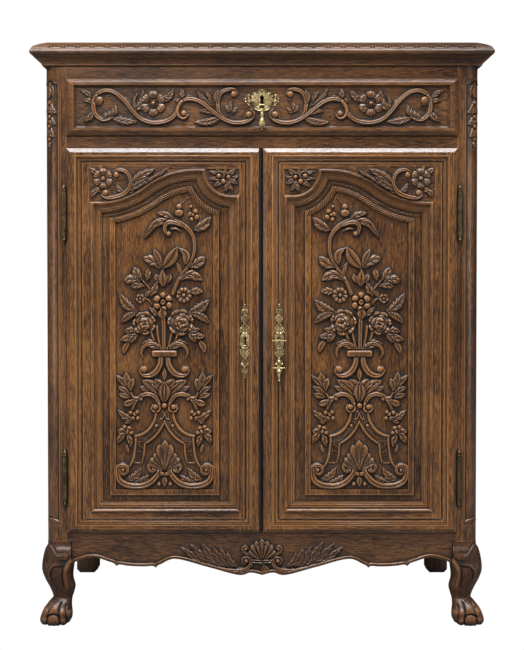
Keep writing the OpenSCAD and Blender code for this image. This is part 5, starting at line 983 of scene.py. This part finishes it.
def apron_carving():
    """A shell on a bar between volutes, and a spray of leaves at each side."""
    r = Relief(150.0, 374.4, 536.4, 575.2, step=0.42, axis=MIDDLE, full=1.4)
    spray = (((224, 563.6), (181.0, 546.6), 6.6, -0.10, 6), ((231, 565.4), (190.0, 543.0), 7.0, -0.12, 6),
             ((233, 566.0), (201.0, 541.6), 8.0, -0.14, 6), ((235, 566.4), (213.0, 546.0), 6.4, -0.16, 5),
             ((236.4, 566.4), (221.0, 546.8), 6.4, -0.18, 5), ((238, 566.0), (228.0, 552.2), 5.2, -0.20, 4))
    for base, tip, width, bend, teeth in spray:
        r.leaf(base, tip, width, 3.6, bend=bend, teeth=teeth, depth=0.26, slant=0.3, widest=0.5)
    r.stem([(205, 562), (218, 566.8), (231, 569.6), (241, 569.4), (247.6, 567.2), (250.8, 563.4), (250.4, 559.2),
            (247.2, 556.8), (243.6, 558.0), (243.2, 561.2), (245.6, 562.6)], [1.2, 2.2, 2.8, 3.2, 3.4, 3.4, 3.0, 2.6],
           [2.6, 3.8, 4.6, 5.2, 5.4, 5.4, 5.4], "grooved", steps=6)
    r.ball((246.4, 560.2), 2.3, 5.8, moat=0.2)
    r.stem([(253.0, 556.4), (248.6, 554.0), (244.6, 551.4), (243.0, 548.0), (245.2, 545.8), (248.0, 547.4)],
           [2.2, 2.8, 3.0, 2.6, 2.0], [4.2, 4.6, 4.8, 4.8], "grooved")
    r.ball((246.0, 548.4), 1.8, 5.0)
    r.axis = None
    r.shell((262.2, 561.0), (262.2, 538.6), 62, 7, 4.6, fall=0.30, groove=0.55)
    r.shell((262.2, 561.0), (262.2, 541.6), 24, 3, 5.6, fall=0.25, groove=0.5)
    r.stem([(252.0, 560.2), (262.2, 560.8), (272.4, 560.2)], [3.0, 3.0], [5.6, 5.6], "cove")
    r.shell((262.2, 561.5), (262.2, 575.0), 52, 5, 4.8, fall=0.30, groove=0.5)
    r.tooled(17, 0.22)
    return r


def on_apron(U, V):
    x, z = across_front(U), above_floor(V)
    return z > np.interp(x, apron_line[:, 0], apron_line[:, 1]) + np.where(np.abs(x) < 40, 1.6, 8.0)


apron_bead()
board("apron_carving", apron_carving(), 0.35, "case", "oak_dark", dark_across, on_apron, back=1.2, gain=1.5)


# ---------------------------------------------------------------- front legs
# Height, distance of the outer and inner side from the middle, front and back, and how square the section is
LEG_TOP = 194.5
LEG = [(LEG_TOP, 518, 458, 0, 58, 6), (186.5, 518, 457, 2, 57, 6), (175, 524, 456, 8, 56, 5.5),
       (152, 529, 456, 13, 54, 5), (128, 530, 456, 15, 50, 4), (107, 523, 456, 11, 44, 3.2),
       (86, 513, 451, 4, 42, 2.8), (68, 506, 455, -2, 41, 2.5), (59, 505, 458, -2, 41, 2.4),
       (50, 513, 459, 8, 43, 2.3), (38, 522, 459, 17, 46, 2.4), (26, 529, 458, 21, 48, 2.6),
       (12, 534, 458, 22, 48, 2.8), (4, 534, 462, 21, 46, 2.8), (0, 530, 466, 17, 42, 2.6)]


def leg_form(u, v):
    """Carving on a leg's front, in millimetres."""
    def ridge(points, width, high):
        away, share, _ = nearest(curve(points, 8), u, v)
        return high * np.exp(-(away / width) ** 2) * smooth(share * 12) * smooth((1 - share) * 6)

    h = ridge([(80, 556.0), (74.4, 558.4), (70.4, 562.0), (67.6, 567.0), (66.2, 573.0), (66.4, 581.0), (68.4, 592.0)],
              1.5, 2.4)
    h += ridge([(78, 552.6), (71.8, 555.4), (67.4, 559.8), (64.6, 565.4), (63.2, 572.0), (63.4, 580.0),
                (65.2, 590.0)], 0.75, -2.4)
    h += ridge([(59.0, 564.6), (55.4, 566.0), (52.6, 569.6), (51.6, 575.0), (53.6, 581.0)], 0.75, -2.0)
    h += ridge([(58.4, 562.6), (54.4, 564.2), (51.0, 568.4), (49.8, 574.0), (51.8, 581.6)], 0.9, 1.3)
    h += ridge([(49.4, 544.4), (53.0, 548.6), (57.6, 555.0), (59.8, 562.0)], 0.8, 1.6)
    h += ridge([(50.6, 544.0), (54.6, 547.8), (59.4, 554.4), (61.4, 561.6)], 0.7, -1.6)
    leafy = smooth((0.74 * (u - 49.4) - (v - 544.4)) / -2.0) * smooth((563.5 - v) / 3) * smooth((v - 545) / 2)
    hatch = np.abs(((u + v) / 2.3) % 1 - 0.5) * 2
    h -= 1.3 * leafy * smooth((0.4 - hatch) / 0.3)
    low_leaf = smooth((v - 561) / 3) * smooth((578 - v) / 5) * smooth((55 - u) / 3)
    h -= 0.9 * low_leaf * smooth((0.4 - np.abs(((u * 0.5 - v) / 3.0) % 1 - 0.5) * 2) / 0.3)
    # the paw
    for cu, cv, wide, high in ((46.6, 610.5, 3.0, 4.2), (54.6, 606.5, 3.6, 2.4), (63.6, 610.8, 3.0, 4.4),
                               (54.8, 617.6, 5.2, 3.0), (69.4, 612.0, 2.6, 2.6), (45.0, 618.6, 3.0, 2.4),
                               (64.4, 619.4, 3.0, 2.6)):
        h += high * np.exp(-((u - cu) ** 2 + (v - cv) ** 2) / wide ** 2)
    h += ridge([(47.4, 616.2), (50.6, 613.0), (55.0, 611.8), (59.2, 613.2), (61.6, 616.6)], 0.7, -3.4)
    h += ridge([(53.4, 600.6), (51.4, 605.0), (49.6, 610.0), (48.4, 618.0), (47.8, 626.0)], 0.8, -3.2)
    h += ridge([(62.4, 600.0), (60.6, 604.6), (60.2, 610.0), (61.0, 618.0), (61.4, 626.0)], 0.8, -3.2)
    h += ridge([(67.4, 603.0), (66.6, 609.0), (67.2, 617.0), (67.8, 625.0)], 0.8, -2.6)
    for cu in (43.6, 50.6, 55.0, 59.0, 64.4, 69.6):
        h += 1.8 * np.exp(-((u - cu) / 1.3) ** 2 - ((v - 623.8) / 1.8) ** 2)
    return h


def front_leg(side, flip):
    """A cabriole leg, lofted through LEG and carved at its front."""
    table = curve(LEG, 16)
    around = np.radians(np.arange(208) * 360 / 208)
    rings = np.zeros((len(table), len(around), 3))
    for ring, (z, outer, inner, front, back, square) in zip(rings, table):
        power = 2 / np.where((around > math.pi) & (around < 1.5 * math.pi), 2.1,
                             np.where(np.cos(around) > 0, square * (1 + 3 * smooth((z - 120) / 40)), square))
        x, y = (np.sign(t) * np.abs(t) ** power for t in (np.cos(around), np.sin(around)))
        ring[:, 0] = -(outer + inner) / 2 + (outer - inner) / 2 * x
        ring[:, 1] = FACE + (back - front) / 2 + (back + front) / 2 * y
        ring[:, 2] = z
    along = np.gradient(rings, axis=0)
    across = np.roll(rings, -1, 1) - np.roll(rings, 1, 1)
    out = np.cross(across, along)
    out /= np.linalg.norm(out, axis=2)[..., None] + 1e-9
    centre = rings.mean(1, keepdims=True)
    out *= np.sign((out * (rings - centre)).sum(2).mean())
    u, v = MIDDLE + rings[..., 0] / UNIT, EYE_LINE + (EYE_HEIGHT - rings[..., 2]) / UNIT
    form = leg_form(u, v) * smooth((-out[..., 1] + 0.25) / 0.5) * smooth((193.5 - rings[..., 2]) / 4)
    rings = rings + out * form[..., None]
    rings[..., 2] = np.clip(rings[..., 2], 0, LEG_TOP)
    rings[..., 0] *= flip
    # Painted shade in the leg's carved grooves, and painted highlight with worn wood on its raised carving.
    relief = np.clip(form / 2.2, -1, 1)
    made = piece(f"front_leg_{side}", rings / 1000, tube(rings), "case", leg_oak,
                 {"relief": relief, "shade": np.clip(-form / 2, 0, 1)})
    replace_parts(made, f"leg_front_{side}")


front_leg("left", 1)
front_leg("right", -1)


# ---------------------------------------------------------------- corner posts
POST_X, POST_R, POST_SINK = -486.0, 32.0, 3.0
BEND = POST_R * math.pi / 4       # from the middle of the rounded corner to either flat, in millimetres


def corner_point(w, z, h):
    """A place on the left front post's corner: w millimetres round it from its middle, h proud of it."""
    turn = np.clip(w, -BEND, BEND) / POST_R + math.pi / 4
    x = POST_X - (POST_R + h) * np.cos(turn)
    y = FACE + POST_R - (POST_R + h) * np.sin(turn)
    x = np.where(w > BEND, POST_X + (w - BEND), x)
    y = np.where(w > BEND, FACE - h, y)
    x = np.where(w < -BEND, POST_X - POST_R - h, x)
    y = np.where(w < -BEND, FACE + POST_R + (-w - BEND), y)
    return np.stack([x, y, z], -1) / 1000


def corner_carving():
    """The sunk panel of a front post: a bracketed head with a drop of leaves, and a curved foot."""
    rows = np.concatenate([np.arange(79.2, 152, 0.42), np.arange(153, 500, 5.0), np.arange(500, 524.4, 0.42)])
    r = Relief(-12.6, 12.6, 79.2, 524.3, step=0.42, axis=0.0, rows=rows)
    head = curve([(0, 79.8), (1.8, 80.0), (3.8, 81.0), (6.2, 83.0), (8.8, 84.0), (10.6, 85.4), (11.9, 88.4)], 8)
    foot = curve([(0, 519.0), (5, 519.6), (9, 521.0), (11.9, 523.0)], 8)
    side = np.abs(r.U)
    top, bottom = np.interp(side, head[:, 0], head[:, 1]), np.interp(side, foot[:, 0], foot[:, 1])
    inside = np.minimum(np.minimum(r.V - top, bottom - r.V), 11.3 - side)
    r.h = np.where(inside > 0, 0.0, 3.05)
    r.h += (0.9 * np.exp(-((inside - 0.1) / 0.5) ** 2) * (inside < 0.9)
            + 2.6 * np.exp(-((inside - 0.55) / 0.5) ** 2) * (inside > 0))
    r.h -= 0.9 * np.exp(-((inside + 1.0) / 0.35) ** 2)
    r.h = np.where(side > 11.9, 3.1, r.h)
    bare = r.h.copy()
    r.leaf((0, 82.0), (0, 99.0), 8.6, 4.4, teeth=0, widest=0.55, curl=0.2)
    r.leaf((1.0, 84), (5.4, 98.0), 3.4, 2.6, bend=-0.1, teeth=0)
    r.ball((0, 101.4), 2.6, 3.4)
    for v, reach, drop in ((102.0, 9.4, 12.0), (116.0, 8.4, 9.0), (125.6, 7.0, 12.0)):
        r.leaf((0.8, v), (reach, v + drop), 7.4, 4.2, bend=0.16, teeth=5, depth=0.2, slant=0.3)
        r.leaf((0.4, v + 3), (reach * 0.45, v + drop + 1.5), 4.6, 4.8, bend=0.10, teeth=3, depth=0.16)
        r.ball((0, v + 1.0), 2.4, 5.0, moat=0.3)
    r.leaf((0, 139.0), (0, 149.0), 5.0, 4.2, teeth=3)
    r.ball((0, 139.5), 2.2, 4.6, moat=0.3)
    r.stem([(0, 149), (0, 151.4)], [1.0, 0.6], [2.0, 0.8])
    r.h = np.where(inside > 1.0, r.h, bare)
    return r


def corner_sheet(side, flip):
    """The carved sheet that lines a front post's sunk panel."""
    r = corner_carving()
    w, z = r.U * UNIT, above_floor(r.V)
    front = corner_point(w, z, r.h - POST_SINK + 0.1)
    back_w = np.linspace(w[0, -1], w[0, 0], 9)
    back = corner_point(np.tile(back_w, (len(w), 1)), np.repeat(z[:, :1], 9, 1),
                        np.full((len(w), 9), -POST_SINK - 0.6))
    rings = np.concatenate([front, back], 1)
    rings[..., 0] *= flip
    # Painted shade on the sunk ground round the carved head, and painted shade and highlight from the relief mark.
    crest = np.clip((r.h - blurred(r.h, 3)) / 1.2, -1, 1)
    pad = np.zeros((len(w), 9))
    piece(f"corner_carving_{side}", rings, tube(rings), "case", post_carved,
          {"relief": np.hstack([crest, pad]), "shade": np.hstack([0.7 * (r.h < 0.6) * (r.V < 152), pad])})


corner_sheet("left", 1)
corner_sheet("right", -1)


# ---------------------------------------------------------------- rows of gouge cuts and leaves
def row_tree():
    """Geometry Nodes: pads set along a path, each tilted, and turned to it as far as Follow says."""
    tree = bpy.data.node_groups.new("row_of_pads", "GeometryNodeTree")
    face = tree.interface
    face.new_socket("Geometry", in_out="INPUT", socket_type="NodeSocketGeometry")
    for name, kind in (("Pad", "Object"), ("Spacing", "Float"), ("Follow", "Float"), ("Tilt", "Float"),
                       ("Variation", "Float"), ("Seed", "Int"), ("Finish", "Material")):
        face.new_socket(name, in_out="INPUT", socket_type="NodeSocket" + kind)
    face.new_socket("Geometry", in_out="OUTPUT", socket_type="NodeSocketGeometry")
    given, result = tree.nodes.new("NodeGroupInput"), tree.nodes.new("NodeGroupOutput")

    def step(kind, links, **settings):
        return add_node(tree, kind, links, **settings)

    path = step("GeometryNodeMeshToCurve", {"Mesh": given.outputs["Geometry"]})
    even = step("GeometryNodeResampleCurve", {"Curve": path.outputs[0], "Length": given.outputs["Spacing"]},
                mode="LENGTH")
    ahead = step("GeometryNodeInputTangent", {})
    turned = step("FunctionNodeAlignRotationToVector", {"Vector": ahead.outputs[0],
                                                        "Factor": given.outputs["Follow"]}, axis="X", pivot_axis="Y")
    lean = step("ShaderNodeCombineXYZ", {"Y": given.outputs["Tilt"]})
    tilted = step("FunctionNodeRotateRotation", {"Rotation": turned.outputs[0], "Rotate By": lean.outputs[0]},
                  rotation_space="LOCAL")
    low = step("ShaderNodeMath", {0: 1.0, 1: given.outputs["Variation"]}, operation="SUBTRACT")
    high = step("ShaderNodeMath", {0: 1.0, 1: given.outputs["Variation"]}, operation="ADD")
    size = step("FunctionNodeRandomValue", {2: low.outputs[0], 3: high.outputs[0], "Seed": given.outputs["Seed"]},
                data_type="FLOAT")
    pad = step("GeometryNodeObjectInfo", {"Object": given.outputs["Pad"]})
    set_out = step("GeometryNodeInstanceOnPoints", {"Points": even.outputs[0], "Instance": pad.outputs["Geometry"],
                                                    "Rotation": tilted.outputs[0], "Scale": size.outputs[1]})
    real = step("GeometryNodeRealizeInstances", {"Geometry": set_out.outputs[0]})
    dressed = step("GeometryNodeSetMaterial", {"Geometry": real.outputs[0], "Material": given.outputs["Finish"]})
    tree.links.new(dressed.outputs[0], result.inputs[0])
    return tree


ROW = row_tree()


def row(name, path, pad, spacing, tilt, body, finish, variation=0.08, follow=1.0):
    """Pads along a path, as one plain mesh. follow is how far they turn to the path, 0 or 1."""
    line = bpy.data.meshes.new(name + "_path")
    line.from_pydata((np.array(path) / 1000).tolist(), [(i, i + 1) for i in range(len(path) - 1)], [])
    holder = bpy.data.objects.new(name + "_path", line)
    scene.collection.objects.link(holder)
    maker = holder.modifiers.new("row", "NODES")
    maker.node_group = ROW
    values = {"Pad": pad, "Spacing": spacing / 1000, "Follow": follow, "Tilt": math.radians(tilt),
              "Variation": variation, "Seed": 3, "Finish": finish}
    for socket in ROW.interface.items_tree:
        if socket.in_out == "INPUT" and socket.name in values:
            maker[socket.identifier] = values[socket.name]
    seen = holder.evaluated_get(bpy.context.evaluated_depsgraph_get())
    mesh = bpy.data.meshes.new_from_object(seen)
    bpy.data.objects.remove(holder)
    turn_outward(mesh)
    return fitted(name, mesh, body)


def pad_object(name, points, faces):
    """A small form to repeat, out of sight itself."""
    mesh = bpy.data.meshes.new(name)
    mesh.from_pydata((points / 1000).tolist(), [], faces)
    mesh.shade_smooth()
    return bpy.data.objects.new(name, mesh)


def lens(name, long, wide, high):
    """A pointed pad along X that rises toward -Y."""
    root, n, m = 0.6, 9, 7
    t = np.linspace(-1, 1, n)
    half = wide / 2 * np.maximum(1 - t ** 2, 0.02) ** 0.8
    a = np.linspace(0, math.pi, m)
    x = np.repeat(t[:, None] * long / 2, m + 1, 1)
    top = high * np.maximum(1 - t ** 2, 0.02) ** 0.5
    z = np.concatenate([half[:, None] * np.cos(a), np.zeros((n, 1))], 1)
    y = np.concatenate([-top[:, None] * np.sin(a), np.full((n, 1), root)], 1)
    rings = np.stack([x, y, z], -1)
    return pad_object(name, rings.reshape(-1, 3), tube(rings))


gouge = lens("gouge", 17.0, 2.9, 2.6)
stroke = lens("stroke", 12.0, 1.8, 1.1)
for side, flip in (("left", 1), ("right", -1)):
    x = np.linspace(-354, -109, 120)
    lip = np.stack([flip * x, np.full(x.shape, FACE - 3.0), arch_height(x, 43.0)], 1)
    row(f"door_{side}_lip_rope", lip, gouge, 5.4, flip * 52, f"door_{side}", door_across)
    x = np.linspace(-378, -82, 140)
    margin = np.stack([flip * x, np.full(x.shape, FACE + 4.0), arch_height(x, 29.4)], 1)
    row(f"door_{side}_margin_strokes", margin, stroke, 3.2, flip * 58, f"door_{side}", door_across, 0.2)


# The top board: where its moulded edge begins, how far it stands out, and the steep part of the edge as pairs of
# distance inward and height. A link of the twist that is cut there is so long
EDGE_LOW, TOP_OVER, LINK = 1352.0, 30.0, 34.0
EDGE_SLOPE = np.array([(2.86, 17.13), (4.32, 20.99), (10.08, 26.12), (20.16, 31.52), (36, 38)])
EDGE_LEAN = math.radians(41)


def edge_twist(side):
    """The gouge cuts of one link of the twist, as pads painted near-black for the shade in them. side is 0 at the
    front, -1 at the left and 1 at the right.
    """
    t, a = np.linspace(0.02, 0.98, 36), np.linspace(0, math.pi, 7)
    points, faces = [], []
    for sign in (1, -1):
        mid, run = 9.4 + sign * 4.8 * np.cos(math.pi * t), LINK * (t - 0.5)
        half = 0.12 + 1.3 * np.abs(np.sin(5 * math.pi * t)) ** 0.8
        rings = []
        for middle, along, reach in zip(mid, run, half):
            inward = np.append(middle + reach * np.cos(a), middle)
            proud = np.append(np.sin(a) * (reach / 1.7) ** 0.5, -0.8)
            height = np.interp(inward, EDGE_SLOPE[:, 0], EDGE_SLOPE[:, 1])
            rings.append(np.stack([np.full(inward.shape, along), inward - TOP_OVER - proud * math.sin(EDGE_LEAN),
                                   height + proud * math.cos(EDGE_LEAN)], -1))
        rings = np.array(rings)
        faces += [[i + len(points) for i in face] for face in tube(rings)]
        points += rings.reshape(-1, 3).tolist()
    points = np.array(points)
    if side:
        points = points[:, [1, 0, 2]] * (-side, 1, 1)
    return pad_object("edge_twist", points, faces)


# Painted shade: the rows of the twist are near-black pads for the shade in its cuts.
for name, side, start, end in (("front", 0, (-486, FACE), (486, FACE)), ("left", -1, (-518, -180), (-518, 232)),
                               ("right", 1, (518, -180), (518, 232))):
    row(f"top_edge_carving_{name}", [(*start, EDGE_LOW), (*end, EDGE_LOW)], edge_twist(side), LINK, 0, "case",
        cut_shade_oak, 0.0, follow=0.0)


# ---------------------------------------------------------------- brass
def cast_plate(name, relief, body, node, flip=1, level=7.0):
    """A pierced plate cast from a relief: metal only where the relief stands."""
    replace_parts(board(name, relief, level, body, "brass", brass, None, flip, 0.25, gain=1.0, metal=True), node)


def door_plate():
    """A long pierced plate: a shield about the keyhole and crossed straps over and under it."""
    m = 245.2
    r = Relief(m - 6.2, m + 6.2, 302.2, 376.8, step=0.15, axis=m)
    r.plate([(m, 329.6), (m + 2.2, 330.6), (m + 3.0, 333.0), (m + 4.9, 335.0), (m + 5.1, 343.0), (m + 3.8, 346.4),
             (m + 2.6, 349.6), (m, 350.6)], 1.7, roll=0.7, flat=0.65)
    for up in (1, -1):
        def at(x, y):
            return (m + x, 340 - up * (340 - y))
        r.plate([at(0, 304.4), at(0.9, 306.0), at(1.2, 309.0), at(2.2, 311.2), at(1.3, 313.0), at(2.8, 316.2),
                 at(3.2, 318.6), at(1.6, 321.6), at(1.2, 323.8), at(3.2, 326.4), at(4.2, 328.8), at(2.8, 331.2),
                 at(0, 331.6)], 0.8, roll=0.4)
        for x, y, size in ((0.9, 305.8, 0.6), (2.3, 309.4, 0.8), (1.6, 312.4, 0.6), (3.6, 316.4, 0.8),
                           (1.9, 320.6, 0.6), (2.6, 325.2, 0.7), (4.9, 331.4, 0.8), (1.2, 323.0, 0.6)):
            r.ball(at(x, y), size, 2.6)
        r.stem([at(0, 303.2), at(0, 316)], [0.9, 1.2], [2.0, 2.0], steps=4)
        r.ball(at(0, 303.9), 0.95, 2.6)
        r.ball(at(1.3, 307.6), 0.75, 2.2)
        r.stem([at(0, 308.8), at(1.9, 309.6), at(3.0, 312.0)], [1.3, 1.2, 0.9], [2.2, 2.4, 2.0])
        r.stem([at(0, 313.4), at(1.7, 315.4), at(3.1, 318.2)], [1.2, 1.3, 1.3], [2.2, 2.4, 2.4])
        r.ball(at(2.9, 317.6), 1.0, 2.8)
        r.stem([at(3.1, 318.6), at(1.2, 321.2), at(-1.2, 324.0), at(-3.4, 326.6)], [1.2, 1.3, 1.3, 1.2],
               [2.4, 2.6, 2.6, 2.4], "grooved")
        r.ball(at(3.7, 327.2), 1.15, 2.8)
        r.stem([at(3.6, 327.4), at(4.6, 329.6), at(3.4, 331.2), at(2.2, 330.4)], [1.2, 1.2, 1.0], [2.2, 2.2, 2.0])
        r.ball(at(4.5, 329.2), 0.8, 2.6)
    for k in range(3):
        r.pit((m + 2.6, 333.6 + k * 5.2), 0.5, 0.5)
    r.stem([(m - 2.2, 345.0), (m, 344.4), (m + 2.2, 345.0)], [1.0, 1.2], [2.6, 2.8])
    hole = 1.0 - np.hypot(r.U - m, r.V - 337.4) / 1.8
    slot = 1.0 - np.maximum(np.abs(r.U - m) / (0.80 + 0.08 * (r.V - 337)), np.abs(r.V - 340.2) / 3.3)
    r.h = np.where(np.maximum(hole, slot) > 0, 0.0, r.h)
    return r


def drawer_plate():
    """The drawer's plate: a crowned shield with a trefoil at each side and a lip below."""
    m = MIDDLE
    r = Relief(244.4, 280.0, 89.4, 113.4, step=0.15, axis=m)
    r.stem([(252.6, 101.4), (248.6, 101.4)], [3.0, 2.2], [2.6, 2.4], "grooved")
    r.stem([(250, 100.4), (248.6, 98.4), (248.8, 96.8)], [1.4, 1.2], [2.4, 2.6])
    r.stem([(250, 102.4), (249.2, 104.4), (249.2, 106)], [1.4, 1.2], [2.4, 2.6])
    for place, size in (((248.9, 96.4), 1.3), ((247.2, 97.4), 0.9), ((245.9, 99.8), 1.1), ((246.2, 102.6), 1.2),
                        ((249.2, 106.3), 1.2), ((247.8, 104.6), 0.9), ((254.2, 94.4), 1.1), ((255.8, 94.2), 0.9),
                        ((252.4, 97.4), 1.1), ((260.2, 91.0), 1.0), ((258.4, 92.2), 0.8), ((255.4, 109.8), 1.1)):
        r.ball(place, size, 3.2)
    r.plate([(m, 91.4), (m + 2.6, 91.9), (m + 4.8, 94.2), (m + 7.8, 94.8), (m + 9.0, 97.4), (m + 11.2, 100.2),
             (m + 11.6, 101.8), (m + 9.4, 104.4), (m + 7.6, 107.2), (m + 7.0, 110.2), (m + 4.0, 111.4), (m, 112.4)],
            2.4, roll=1.0, flat=0.6)
    r.stem([(m + 10.6, 101), (m + 7.6, 99.2), (m + 6.0, 96.2), (m + 2.8, 93.6), (m, 92.8)], [0.9, 0.8], [3.2, 3.2])
    r.stem([(m + 9.6, 103), (m + 6.8, 105.4), (m + 5.4, 109.4)], [0.9, 0.8], [3.2, 3.0])
    r.stem([(m + 3.4, 95.6), (m + 4.0, 99.0), (m + 3.0, 103.6)], [0.8, 0.8], [3.0, 3.0])
    r.ball((m, 91.2), 1.2, 3.4)
    r.axis = None
    r.stem([(m - 2.8, 106.4), (m, 105.8), (m + 2.8, 106.4)], [1.5, 1.7], [3.6, 3.8])
    r.stem([(m - 6.6, 110.0), (m - 3.0, 111.6), (m, 110.6), (m + 3.0, 111.6), (m + 6.6, 110.0)], [1.2, 1.4, 1.6, 1.4],
           [3.2, 3.6, 4.0])
    ring = np.hypot(r.U - m, r.V - 98.7) / 2.15
    slot = np.maximum(np.abs(r.U - m) / (1.05 + 0.10 * (r.V - 99)), np.abs(r.V - 101.6) / 3.1)
    dark = np.maximum(np.abs(r.U - m) / 2.6, np.abs(r.V - 108.3) / 0.8)
    r.h = np.where(np.minimum(np.minimum(ring, slot), dark) < 1, 0.0, r.h)
    return r


def lathe(name, node, body, place, section, sides, flutes=0, fluted=(0, 0), depth=0.0):
    """A turned drop, for a node: radius and height pairs round a vertical axis, fluted between two heights."""
    line = curve(section, 5)
    a = np.radians(np.arange(sides) * 360 / sides)
    rings = np.zeros((len(line), sides, 3))
    for ring, (radius, z) in zip(rings, line):
        swell = 1.0
        if fluted[0] < z < fluted[1]:
            share = math.sin(math.pi * (z - fluted[0]) / (fluted[1] - fluted[0]))
            swell = 1 - depth * share * (1 - np.abs(np.cos(flutes * a / 2)))
        radius = max(radius, 0.05)
        ring[:, 0] = place[0] + radius * swell * np.cos(a)
        ring[:, 1] = place[1] + radius * swell * np.sin(a)
        ring[:, 2] = z
    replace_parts(piece(name, rings / 1000, tube(rings), body, brass), node)


def bar(name, line, height, z, radius, body):
    """A level rod: x and share of the radius, so far in front of the case's face and above the floor."""
    a = np.radians(np.arange(14) * 360 / 14)
    rings = np.array([np.stack([np.full(a.shape, x), FACE - height + radius * share * np.cos(a),
                                z + radius * share * np.sin(a)], -1) for x, share in line])
    piece(name, rings / 1000, tube(rings), body, brass)


plate = door_plate()
cast_plate("door_left_keyhole_plate", plate, "door_left", "door_left_escutcheon")
cast_plate("door_right_keyhole_plate", plate, "door_right", "door_right_escutcheon", -1)
cast_plate("drawer_keyhole_plate", drawer_plate(), "drawer", "drawer_escutcheon", level=3.0)
PULL_X, PULL_HEIGHT, PULL_Z = 40.5, 18.0, 680   # the pivot of the door's pull: x, in front of the face, z
bar("door_pull_bar", [(24.2, 0.1), (24.4, 1.5), (25.4, 1.9), (26.6, 1.5), (27.2, 1.0), (54.0, 1.0), (54.6, 1.5),
                      (55.8, 1.9), (56.8, 1.5), (57.0, 0.1)], PULL_HEIGHT, PULL_Z, 1.6, "door_right")
for name, x in (("inner", 31.5), ("outer", 49.5)):
    rings = np.array([[(x + 1.7 * math.cos(t), FACE - h, PULL_Z + 1.7 * math.sin(t))
                       for t in np.radians(np.arange(12) * 30)] for h in (7.2, 10, 14, 17.6)])
    piece(f"door_pull_stud_{name}", rings / 1000, tube(rings), "door_right", brass)
lathe("drawer_drop", "drawer_pull", "drawer_pull", (0, FACE - 20.5),
      [(0.4, 1229.3), (2.6, 1228.6), (3.3, 1226), (2.8, 1223.4), (2.6, 1221), (3.5, 1218.5), (3.6, 1214), (3.3, 1210),
       (3.8, 1206.5), (5.4, 1202), (6.9, 1197), (7.7, 1192.5), (7.2, 1189), (5.2, 1185.4), (2.6, 1183), (1.4, 1181.8),
       (1.8, 1180.6), (1.5, 1179.6), (0.2, 1179.1)], 60, flutes=10, fluted=(1183, 1210), depth=0.22)
lathe("door_drop", "door_pull", "door_pull", (PULL_X, FACE - PULL_HEIGHT),
      [(0.4, 683.3), (2.8, 682.4), (3.3, 680), (2.6, 677.4), (1.4, 675), (1.3, 655), (1.3, 641), (2.2, 638),
       (1.4, 635.4), (3.2, 632.6), (4.3, 629), (3.4, 625.4), (1.9, 622.6), (2.3, 619), (2.3, 613), (3.4, 611.4),
       (5.6, 608.4), (4.4, 604.6), (3.0, 601.5), (3.3, 597), (2.2, 592), (1.8, 588.4), (3.0, 585.6), (2.4, 584.4),
       (0.3, 584.1)], 28)
bar("door_drop_crossbar", [(PULL_X + x, k) for x, k in (
    (-14.2, 0.1), (-14.0, 1.0), (-12.8, 1.7), (-11.4, 1.2), (-10.6, 0.9), (0, 1.0), (10.6, 0.9), (11.4, 1.2),
    (12.8, 1.7), (14.0, 1.0), (14.2, 0.1))], PULL_HEIGHT, 615.7, 1.3, "door_pull")


# ---------------------------------------------------------------- floor and light
WHITE, WHITE_LEVEL = (1, 1, 1, 1), 1.02


def pale_floor():
    """Plain white to the camera, as the photo's ground is, and a dim floor to all other light."""
    paint = Finish("floor", 0.7)
    paint.put("Base Color", (0.18, 0.178, 0.175, 1))
    glow = paint.add("Emission", {"Color": WHITE, "Strength": WHITE_LEVEL})
    dim = paint.tree.nodes["Principled BSDF"].outputs[0]
    seen = paint.add("MixShader", {0: paint.add("LightPath", out="Is Camera Ray"), 1: dim, 2: glow})
    connect(paint.tree, seen, paint.tree.nodes["Material Output"].inputs[0])
    return paint.material


floor_mesh = bpy.data.meshes.new("floor")
floor_mesh.from_pydata([(-6, -6, 0), (6, -6, 0), (6, 6, 0), (-6, 6, 0)], [], [(0, 1, 2, 3)])
floor_mesh.materials.append(pale_floor())
floor = bpy.data.objects.new("floor", floor_mesh)
scene.collection.objects.link(floor)

world = bpy.data.worlds.new("studio")
scene.world = world
world.use_nodes = True
tree = world.node_tree
ambient = tree.nodes["Background"]
ambient.inputs["Color"].default_value = (0.93, 0.96, 1.0, 1)
ambient.inputs["Strength"].default_value = 0.07
white = add_node(tree, "ShaderNodeBackground", {"Color": WHITE, "Strength": WHITE_LEVEL})
path = add_node(tree, "ShaderNodeLightPath", {})
mix = add_node(tree, "ShaderNodeMixShader", {0: path.outputs["Is Camera Ray"], 1: ambient.outputs[0],
                                             2: white.outputs[0]})
connect(tree, mix.outputs[0], tree.nodes["World Output"].inputs[0])


def softbox(name, place, target, width, height, watts, colour):
    """An area lamp that looks at a target."""
    lamp = bpy.data.lights.new(name, "AREA")
    lamp.shape, lamp.size, lamp.size_y = "RECTANGLE", width, height
    lamp.energy, lamp.color = watts, colour
    holder = bpy.data.objects.new(name, lamp)
    scene.collection.objects.link(holder)
    holder.location = place
    aim = np.array(target, float) - np.array(place, float)
    pitch, yaw = math.atan2(math.hypot(aim[0], aim[1]), -aim[2]), math.atan2(aim[0], aim[1])
    holder.rotation_euler = (pitch, 0, -yaw)


softbox("key", (-0.9, -2.7, 3.1), (0, -0.2, 0.6), 1.2, 0.9, 66, (1.0, 0.98, 0.95))
softbox("fill", (2.6, -2.8, 1.7), (0, -0.2, 0.7), 1.6, 1.6, 9, (1.0, 0.97, 0.94))
softbox("sky", (0.0, -1.9, 6.0), (0, -0.15, 0.8), 3.6, 1.6, 470, (0.88, 0.94, 1.0))
softbox("left", (-2.5, -1.5, 0.8), (0, -0.24, 0.55), 0.5, 1.2, 9, (1.0, 0.97, 0.93))
softbox("right", (2.5, -1.5, 0.8), (0, -0.24, 0.55), 0.5, 1.2, 7, (1.0, 0.97, 0.93))

scene.view_settings.view_transform = "Standard"
